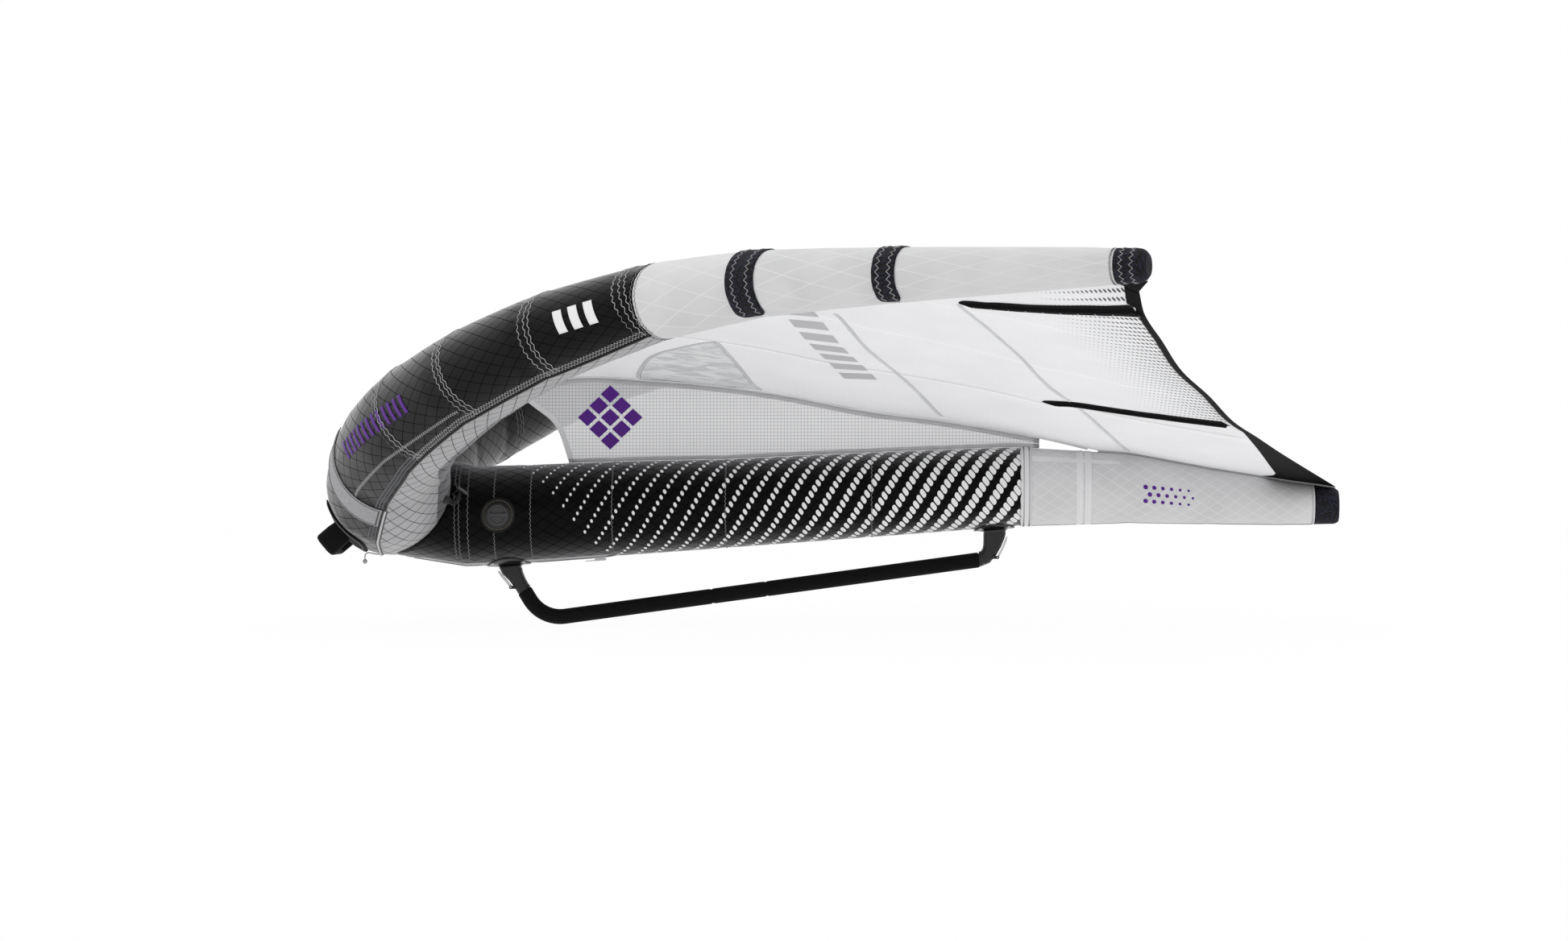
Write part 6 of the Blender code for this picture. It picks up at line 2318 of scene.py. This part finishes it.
@dataclass
class Canopy:
    """The stretched cloth of both halves, with windows and black corners."""

    window_front: tuple[Row, ...] = (
        (0.0, -0.365), (0.10, -0.358), (0.22, -0.325), (0.32, -0.262), (0.42, -0.190), (2.0, 1.0),
    )
    window_rear: Point = (-0.126, -0.1750)  # x on the middle line, and its slope with y
    tail_line: tuple[Row, ...] = (
        (0.0, 0.829), (0.030, 0.852), (0.060, 0.857), (0.300, 0.806), (0.500, 0.7635), (0.620, 0.738),
        (0.660, 0.780), (1.400, 0.780), (1.440, 0.505), (1.600, 0.485),
    )
    strip_share: float = 0.030
    tape_width: float = 0.012
    span_steps: int = 120

    def tape_share(self, span: float) -> float:
        """The share of the chord that the rear tape takes up."""
        return self.tape_width / (CLOTH.point(span, 1.0) - CLOTH.point(span, 0.0)).length

    def front_chord(self, span: float) -> float:
        """Chord of the window's front seam, which ends along the leading edge."""
        found = CLOTH.chord_at(span, lambda y: smooth_between(self.window_front, y)[1])
        return max(found, self.strip_share)

    def rear_chord(self, span: float) -> float:
        """Chord of the window's rear seam."""
        x, slope = self.window_rear
        return CLOTH.chord_at(span, lambda y: x + slope * y)

    def tail_chord(self, span: float) -> float:
        """Chord where the black corner begins."""
        found = CLOTH.chord_at(span, lambda y: between(self.tail_line, y)[1])
        return min(found, 1 - self.tape_share(span))

    def window_end(self) -> float:
        """Span where the window's rear seam meets the strip along the leading edge."""
        return turning_point(lambda span: self.rear_chord(span) > self.front_chord(span))[0]

    def slack(self, place: Vector) -> float:
        """Small hollows and swells of stretched cloth."""
        return 0.0012 * noise.noise(place * 6.0) + 0.0005 * noise.noise(place * 21.0)

    def panel(
        self,
        stock: Stock,
        spans: Sequence[float],
        low: Curve,
        high: Curve,
        steps: int,
        side: Side,
        slot: int,
    ) -> None:
        """Adds a stretch of cloth between two seams.

        Args:
            stock: the piece that gathers it.
            spans: the rows, from the strut to the tip.
            low: chord of its front seam at a span.
            high: chord of its rear seam.
            steps: faces from one to the other.
            side: which half.
            slot: the material slot.
        """
        rows = []
        for span in spans:
            start, end = low(span), high(span)
            row = [CLOTH.point(span, start + (end - start) * j / steps, side) for j in range(steps + 1)]
            for place in row:
                place.z += self.slack(place)
            rows.append(row)
        stock.grid(rows, [[(place.x, abs(place.y)) for place in row] for row in rows], slot)

    def build(self) -> None:
        """Builds both halves."""
        end = self.window_end()
        inner = spread(0.0, end, 1 / self.span_steps)
        outer = spread(end, 1.0, 1 / self.span_steps)
        front, strip, tape = lambda s: 0.0, lambda s: self.strip_share, lambda s: 1 - self.tape_share(s)
        panels = (
            (inner, front, self.front_chord, 10, 0),
            (inner, self.front_chord, self.rear_chord, 24, 1),
            (inner, self.rear_chord, self.tail_chord, 60, 0),
            (inner, self.tail_chord, tape, 10, 2),
            (outer, front, strip, 10, 0),
            (outer, strip, self.tail_chord, 60, 0),
            (outer, self.tail_chord, tape, 10, 2),
        )
        for side in Side:
            stock = Stock()
            for spans, low, high, steps, slot in panels:
                self.panel(stock, spans, low, high, steps, side, slot)
            nodes = ["canopy_" + part + side.label for part in ("front", "window", "main", "tail")]
            cloth = stock.piece(
                "canopy" + side.label, (CANOPY_CLOTH, FILM, EDGE_CLOTH), slot="white_canopy",
                replaces=nodes, wall=0.0006, outward=Vector((0, 0, 1)),
            )
            CanopyTrim(side, self, tree_of(cloth)).build()
            self.build_tape(side)

    def build_tape(self, side: Side) -> None:
        """The folded tape along the rear edge of one half.

        Args:
            side: which half.
        """
        stock = Stock()
        rows = []
        for span in spread(0.0, 1.0, 0.01):
            share = self.tape_share(span)
            rows.append([CLOTH.point(span, 1 - share * (1.0 - k / 4), side) for k in range(5)])
        stock.grid(rows, [[(place.y, k * 0.003) for k, place in enumerate(row)] for row in rows])
        stock.piece(
            "rear_edge_tape" + side.label, EDGE_CLOTH, slot="black_cloth",
            replaces=("trailing_tape" + side.label,), wall=0.0014, wall_side=0.0, outward=Vector((0, 0, 1)),
        )


@dataclass
class CanopyTrim:
    """Seam tapes, threads, batten pockets and printed chevrons of one half of the canopy."""

    side: Side
    canopy: Canopy
    tree: BVHTree
    cloth: float = 0.0007  # how far its underside lies under its top
    seams: tuple[tuple[Point, Point], ...] = (  # plan points of the straight panel seams, x and y
        ((0.030, 0.8625), (0.219, 0.064)),
        ((0.239, 1.245), (0.577, 0.030)),
    )
    seam_tape: Row = (0.0085, 0.0005, 0.0001)  # width, height, and how far it sinks in
    route_step: float = 0.014
    battens: tuple[tuple[str, Point, Point], ...] = (
        ("_upper", (0.239, 1.261), (0.522, 1.429)),
        ("_lower", (0.400, 0.452), (0.722, 0.611)),
    )
    batten_width: Point = (0.0310, 0.0450)  # in front and at the rear edge
    batten_section: tuple[Point, ...] = (  # share of the half width, and height
        (-1, 0.0004), (-0.96, 0.0010), (-0.40, 0.0020), (-0.24, 0.0074),
        (0.24, 0.0074), (0.40, 0.0020), (0.96, 0.0010), (1, 0.0004),
    )
    bar_lift: float = 0.0078
    chevron_line: tuple[Point, Point] = ((-0.068, 0.960), (0.062, 0.330))
    chevron: tuple[Point, ...] = ((-0.014, -0.034), (0.036, -0.034), (0.014, 0.034), (-0.036, 0.034))

    def spot(self, x: float, y: float, under: bool = True) -> Spot:
        """A point of the cloth over a place in plan, or at its edge for a place just behind it.

        Args:
            x: the place, aft.
            y: the place, out from the middle.
            under: whether it is wanted on the underside.

        Returns:
            The point and the direction out of the cloth.
        """
        point = None
        while point is None:
            point, normal, _, _ = self.tree.ray_cast(Vector((x, self.side * y, 2.0)), Vector((0, 0, -1)))
            x -= 0.002
        if normal.z < 0:
            normal = -normal
        if under:
            return point - normal * self.cloth, -normal
        return point, normal

    def route(self, line: Sequence[Point], under: bool = True) -> list[Spot]:
        """A route over the cloth along a line in plan.

        Args:
            line: its corners.
            under: whether it runs on the underside.

        Returns:
            The points with their normals.
        """
        found = []
        step = 0.012
        for (x0, y0), (x1, y1) in zip(line, line[1:]):
            for share in spread(0.0, 1.0, step / max(math.hypot(x1 - x0, y1 - y0), step)):
                found.append(self.spot(x0 + (x1 - x0) * share, y0 + (y1 - y0) * share, under))
        return found

    def edge(self, chord: Curve, spans: Point) -> list[Point]:
        """Plan points of a seam that is known by its chord.

        Args:
            chord: its chord at a span.
            spans: where it starts and ends.

        Returns:
            The points.
        """
        places = [CLOTH.point(span, chord(span)) for span in spread(*spans, 0.012)]
        return [(place.x, place.y) for place in places]

    def build(self) -> None:
        """Builds the trim of this half."""
        end = self.canopy.window_end()
        window = (0.012, end - 0.004)
        lines = list(self.seams)
        lines += [self.edge(chord, window) for chord in (self.canopy.front_chord, self.canopy.rear_chord)]
        width, height, sink = self.seam_tape
        tapes, threads = Stock(), Stock()
        fine = Stitch(StitchKind.ZIGZAG, pitch=0.0055, swing=0.0016, thread=0.00045)
        for line in lines:
            for under in (True, False):
                route = resampled(self.route(line, under), self.route_step)
                tapes.tape(route, width, height, 0, sink)
                fine.sew(threads, lifted(route, height), 0)
        hem = self.edge(lambda s: self.canopy.strip_share * 0.45, (0.03, 0.985))
        for under in (True, False):
            fine.sew(threads, resampled(self.route(hem, under), self.route_step), 1)
        tapes.piece("canopy_seam_tape" + self.side.label, SEAM_TAPE)
        self.build_strap()
        threads.piece("canopy_thread" + self.side.label, (CANOPY_THREAD, DULL_THREAD))
        self.build_chevrons()
        for title, front, rear in self.battens:
            self.build_batten(title + self.side.label, front, rear)

    def build_strap(self) -> None:
        """The black corner between the cloth and the tip of the tube."""
        strap = Stock()
        seam = SEAM_ANGLES[-1][1]
        front, rear = CLOTH.point(1.0, 0.10, self.side), CLOTH.point(1.0, 0.985, self.side)
        tube_front = TUBE.point(self.side * (SPAN_ON_TUBE + 0.006), seam, 0.001)
        tube_rear = TUBE.point(self.side * (TUBE_END - 0.006), seam - 6, 0.001)
        rows = []
        for i in range(7):
            low, high = front.lerp(rear, i / 6), tube_front.lerp(tube_rear, i / 6)
            rows.append([low.lerp(high, j / 4) for j in range(5)])
        strap.grid(rows, [[(place.x, place.z) for place in row] for row in rows])
        strap.piece("tip_corner_strap" + self.side.label, EDGE_CLOTH, wall=0.0012, wall_side=0.0)

    def build_batten(self, title: str, front: Point, rear: Point) -> None:
        """A batten in its pocket under the cloth, pointed in front, with light bars of thread.

        Args:
            title: the end of its name.
            front: plan point of its front end.
            rear: plan point of its rear end.
        """
        stock = Stock()
        route = resampled(self.route([front, rear]), 0.008)
        narrow, broad = self.batten_width
        edge = self.batten_section[0][1]
        rings = []
        for i, (point, normal) in enumerate(route):
            share = i / (len(route) - 1)
            leaf = math.sin(math.pi / 2 * min(share / 0.075, 1.0)) ** 0.8
            waist = 1 - 0.22 * bell((share - 0.17) / 0.05)
            width = 0.0012 + (narrow + (broad - narrow) * share) * leaf * waist
            across = sideways(route, i) * width / 2
            flat = min(1.0, 0.25 + share / 0.1)
            heights = [(a, edge + (h - edge) * flat) for a, h in self.batten_section]
            rings.append([point + across * a + normal * h for a, h in heights])
        stock.loft(rings)
        stock.piece(
            "batten_pocket" + title, EDGE_CLOTH, slot="batten_plastic", replaces=("batten" + title,)
        )
        thread = Stock()
        row = Stitch(StitchKind.ZIGZAG, pitch=0.0016, swing=0.0009, thread=0.0004)
        for i in range(4, len(route) - 2, 4):
            point, normal = route[i]
            across = normal.cross((route[i + 1][0] - point).normalized())
            base = point + normal * self.bar_lift
            row.sew(thread, [(base + across * 0.0026 * k, normal) for k in (-1, -0.5, 0, 0.5, 1)])
        thread.piece("batten_thread" + title, PALE_PIPING)

    def build_chevrons(self) -> None:
        """A row of printed slanted bars on the underside."""
        stock = Stock()
        start, end = (Vector(point) for point in self.chevron_line)
        ahead = (end - start).normalized()
        across = Vector((-ahead.y, ahead.x))
        for share in spread(0.0, 1.0, 0.125):
            middle = start.lerp(end, share)
            place = lambda u, v, lift: self.raised(middle + ahead * u + across * v, lift)
            stock.patch(place, self.chevron, 0.0003, (5, 5))
        stock.piece("printed_chevrons" + self.side.label, GREY_INK)

    def raised(self, place: Vector, lift: float) -> Vector:
        """A point off the underside of the cloth."""
        point, normal = self.spot(place.x, place.y)
        return point + normal * lift


@dataclass
class ProfilePanel:
    """The upright panel between strut and canopy."""

    front: tuple[Row, ...] = (  # height and x of its front edge
        (0.3090, -0.500), (0.3416, -0.510), (0.3743, -0.522), (0.3975, -0.538), (0.420, -0.567),
        (0.445, -0.600),
    )
    foot_x: float = -0.500
    rear_x: float = 0.407
    clear: float = 0.0012
    motif: Point = (-0.421, 0.3992)
    motif_step: Point = (0.044, 0.0225)
    lozenge: Point = (0.0185, 0.0185 * 0.92)  # half width and half height
    steps: tuple[int, int] = (90, 16)
    hem: Point = (0.0005, 0.0001)  # height of its tapes, and how far they sink in

    def bottom(self, x: float) -> Vector:
        """A point of the lower edge."""
        return Vector((x, 0, BEAM.point(x, 0, self.clear).z))

    def top(self, x: float) -> Vector:
        """A point of the upper edge."""
        return Vector((x, 0, CLOTH.middle_height(x) - 0.003))

    def point(self, u: float, v: float) -> Vector:
        """A point of the panel.

        Args:
            u: share of the way aft.
            v: share of the way up.

        Returns:
            The point.
        """
        top_x = self.front[-1][1]
        low = self.bottom(self.foot_x + (self.rear_x - self.foot_x) * u)
        high = self.top(top_x + (self.rear_x - top_x) * u)
        corner_low, corner_high = self.bottom(self.foot_x), self.top(top_x)
        z = corner_low.z + (corner_high.z - corner_low.z) * v
        left = Vector((smooth_between(self.front, z)[1], 0, z))
        rear_low, rear_high = self.bottom(self.rear_x), self.top(self.rear_x)
        right = rear_low.lerp(rear_high, v)
        edges = low.lerp(high, v) + left.lerp(right, u)
        corners = corner_low.lerp(rear_low, u).lerp(corner_high.lerp(rear_high, u), v)
        return edges - corners

    def build(self) -> None:
        """Builds the panel."""
        stock = Stock()
        aft, up = self.steps
        rows = [[self.point(i / aft, j / up) for j in range(up + 1)] for i in range(aft + 1)]
        stock.grid(rows, [[(place.x, place.z) for place in row] for row in rows])
        panel = stock.piece(
            "profile_cloth", PANEL_CLOTH, slot="panel_cloth", replaces=("profile_panel",), wall=0.0008,
            wall_side=0.0,
        )
        self.build_hems()
        self.build_motif()

    def face(self, line: Sequence[Vector], side: int) -> list[Spot]:
        """A route along a line of the panel, on one of its faces."""
        out = Vector((0, side, 0))
        return [(point + out * 0.0004, out) for point in line]

    def build_hems(self) -> None:
        """Tapes along the four edges, on both faces, with their threads."""
        hems, threads = Stock(), Stock()
        top = [self.point(i / 60, 1.0) - Vector((0, 0, 0.0050)) for i in range(61)]
        low = [self.point(i / 60, 0.0) + Vector((0, 0, 0.0032)) for i in range(61)]
        front = [self.point(0.0, j / 16) + Vector((0.0055, 0, 0)) for j in range(17)]
        rear = [self.point(1.0, j / 8) - Vector((0.0055, 0, 0)) for j in range(9)]
        fine = Stitch(StitchKind.ZIGZAG, pitch=0.0055, swing=0.0015, thread=0.00045)
        height, sink = self.hem
        for side in Side:
            for line, width, slot in (
                (top, 0.0095, 0), (low, 0.0080, 0), (front, 0.0105, 1), (rear, 0.0105, 1)
            ):
                route = self.face(line, side)
                hems.tape(route, width, height, slot, sink)
                fine.sew(threads, lifted(route, height))
        down = Vector((0, 0, -1))
        stations = spread(-0.612, 0.500, 0.012)
        keel = [(Vector((x, 0, CLOTH.middle_height(x) - 0.0012)), down) for x in stations]
        hems.tape(keel, 0.0150, 0.0026, 1, 0.0006)
        hems.piece("profile_hem", (SEAM_TAPE, HEM_CLOTH))
        threads.piece("profile_thread", CANOPY_THREAD)

    def build_motif(self) -> None:
        """A printed cluster of purple lozenges on both faces."""
        stock = Stock()
        centre_x, centre_z = self.motif
        step_x, step_z = self.motif_step
        for side in Side:
            for row, count in enumerate((1, 2, 3, 2, 1)):
                for k in range(count):
                    x = centre_x + (k - (count - 1) / 2) * step_x
                    z = centre_z + (row - 2) * step_z
                    place = lambda u, v, lift: Vector((x + u, side * (0.0004 + lift), z + v))
                    stock.pad(place, [(*self.lozenge, 1.0, lift) for lift in (0.0, 0.0002)], 24)
        stock.piece("profile_printed_lozenges", PURPLE_INK)


@dataclass
class Boom:
    """Grip under the strut."""

    grip_radius: float = 0.01475
    bend_radius: float = 0.068
    lowest_x: float = -0.518
    front_leg_angle: float = 58.5
    run_angle: float = 7.8
    front_leg: float = 0.0226
    run: float = 0.8085
    nicks: Point = (-0.2235, -0.119)  # where the sleeves of foam meet

    def path(self, from_front: float, to_rear: float) -> list[Vector]:
        """Points of the boom's centre line.

        Args:
            from_front: length before the bend.
            to_rear: length after it.

        Returns:
            The points.
        """
        lowest = self.grip_radius * math.cos(math.pi / 10)
        centre = Vector((self.lowest_x, 0, lowest + self.bend_radius))
        bend = []
        for angle in spread(-self.front_leg_angle, self.run_angle, 4):
            turn = math.radians(angle)
            bend.append(centre + self.bend_radius * Vector((math.sin(turn), 0, -math.cos(turn))))
        front, rear = math.radians(self.front_leg_angle), math.radians(self.run_angle)
        first = bend[0] + from_front * Vector((-math.cos(front), 0, math.sin(front)))
        run = Vector((math.cos(rear), 0, math.sin(rear)))
        return [first] + bend + [bend[-1] + run * d for d in spread(0.02, to_rear, 0.03)]

    def build(self) -> None:
        """Builds the grip."""
        stock = Stock()
        path = self.path(self.front_leg - 0.0012, self.run - 0.0012)
        fine = [path[0]]
        for a, b in zip(path, path[1:]):
            count = max(1, round((b - a).length / 0.0025))
            fine += [a.lerp(b, k / count) for k in range(1, count + 1)]
        sizes = []
        for point in fine:
            nick = sum(bell((point.x - x) / 0.0022) for x in self.nicks)
            end = min((point - fine[0]).length, (point - fine[-1]).length)
            sizes.append(self.grip_radius - 0.0016 * nick - 0.0014 * bell(end / 0.0016))
        stock.tube(fine, sizes, 40)
        grip = stock.piece("boom_foam_grip", FOAM, body="boom", slot="foam", replaces=("boom_grip",))


@dataclass
class Studio:
    """Floor, lamps and camera."""

    camera_distance: float = 8.364
    aim: Point = (-0.085, 0.2965)  # x and z of the point in the middle of the picture
    azimuth: float = 0.0299  # radians, from straight along +Y
    elevation: float = -0.0016
    focal_px: float = 5376.7
    picture_px: tuple[int, int] = (1946, 1168)
    room_light: float = 1.0
    floor_glow: float = 0.965
    floor_bounce: float = 0.85  # a white sweep lit from all sides throws light up under the wing

    def build(self) -> None:
        """Builds the studio."""
        self.build_camera()
        self.build_floor()
        self.build_light()

    def build_camera(self) -> None:
        """A long lens at the photograph's angle."""
        data = bpy.data.cameras.new("camera")
        data.sensor_width = 36.0
        data.lens = self.focal_px / self.picture_px[0] * data.sensor_width
        data.clip_end = 60.0
        camera = placed("camera", data)
        a, e = self.azimuth, self.elevation
        back = Vector((math.sin(a) * math.cos(e), -math.cos(a) * math.cos(e), math.sin(e)))
        camera.location = Vector((self.aim[0], 0, self.aim[1])) + back * self.camera_distance
        camera.rotation_mode = "QUATERNION"
        camera.rotation_quaternion = (-back).to_track_quat("-Z", "Y")
        bpy.context.scene.camera = camera

    def build_floor(self) -> None:
        """A pale floor that keeps the shadow and shows white to the camera."""
        stock = Stock()
        reach = 30.0
        rows = [[Vector((x, y, -0.0010)) for y in (-reach, reach)] for x in (-reach, reach)]
        verts = [stock.work.verts.new(point) for row in rows for point in row]
        stock.work.faces.new((verts[0], verts[2], verts[3], verts[1]))
        mesh = bpy.data.meshes.new("studio_floor")
        stock.work.to_mesh(mesh)
        stock.work.free()
        floor = placed("studio_floor", mesh)
        made = bpy.data.materials.new("studio_floor_white")
        made.use_nodes = True
        tree = made.node_tree
        shader = tree.nodes["Principled BSDF"]
        shader.inputs["Base Color"].default_value = linear_colour("#f0f0f0")
        shader.inputs["Roughness"].default_value = 0.9
        glow = add_node(tree, "Emission", {"Color": (1, 1, 1, 1), "Strength": 1.0})
        light = add_node(tree, "LightPath")
        shown = light.outputs["Is Camera Ray"]
        for kind in ("Is Glossy Ray", "Is Transmission Ray"):
            shown = add_node(tree, "Math", {0: shown, 1: light.outputs[kind]}, operation="MAXIMUM")
        glows = {"Value": shown, "To Min": self.floor_bounce, "To Max": self.floor_glow}
        part = add_node(tree, "MapRange", glows)
        both = add_node(tree, "MixShader", {0: part, 1: shader, 2: glow})
        tree.links.new(both.outputs[0], tree.nodes["Material Output"].inputs["Surface"])
        mesh.materials.append(made)

    def build_light(self) -> None:
        """Soft boxes over a dim room whose walls look white to the camera."""
        world = bpy.data.worlds.new("studio_room")
        bpy.context.scene.world = world
        world.use_nodes = True
        tree = world.node_tree
        backdrop = tree.nodes["Background"]
        light = add_node(tree, "LightPath")
        rays = {0: light.outputs["Is Camera Ray"], 1: light.outputs["Is Transmission Ray"]}
        seen = add_node(tree, "Math", rays, operation="MAXIMUM")
        strength = add_node(tree, "MapRange", {"Value": seen, "To Min": self.room_light, "To Max": 1.0})
        tree.links.new(strength.outputs[0], backdrop.inputs["Strength"])
        backdrop.inputs["Color"].default_value = (1, 1, 1, 1)
        boxes = (
            ("soft_box_top", (-1.0, 0.4, 4.4), (-0.1, 0.0, 0.4), (3.2, 3.2), 26.0),
            ("soft_box_left", (-4.2, -2.6, 2.2), (-0.4, 0.0, 0.3), (1.6, 2.6), 16.0),
        )
        for name, place, target, size, power in boxes:
            data = bpy.data.lights.new(name, "AREA")
            data.shape = "RECTANGLE"
            data.size, data.size_y = size
            data.energy = power
            lamp = placed(name, data)
            lamp.location = place
            aim = Vector(target) - Vector(place)
            lamp.rotation_mode = "QUATERNION"
            lamp.rotation_quaternion = aim.to_track_quat("-Z", "Y")
        bpy.context.scene.view_settings.view_transform = "Standard"


def tree_of(made: bpy.types.Object) -> BVHTree:
    """A search tree of an object's mesh.

    Args:
        made: the object.

    Returns:
        The tree.
    """
    mesh = made.data
    points = [vertex.co for vertex in mesh.vertices]
    return BVHTree.FromPolygons(points, [face.vertices for face in mesh.polygons])


def main() -> None:
    """Builds the wing's looks and its studio."""
    logging.basicConfig(level=logging.INFO, format="%(message)s")
    Studio().build()
    LeadingEdge().build()
    NoseHandle().build()
    Pigtail().build()
    TransferHose().build()
    Strut().build(tree_of(bpy.data.objects["leading_edge_centre"]))
    Canopy().build()
    ProfilePanel().build()
    Boom().build()
    Valve().build()
    Mount("front_mount", "front_saddle", -0.6164, 0.043, 0.050, (-0.6360, -0.5920, 0.1088), -0.610).build()
    Mount("rear_mount", "rear_saddle", 0.3204, 0.040, 0.036, (0.2994, 0.3432, 0.1763), 0.321).build()
    Hardware().build()


if __name__ == "__main__":
    main()
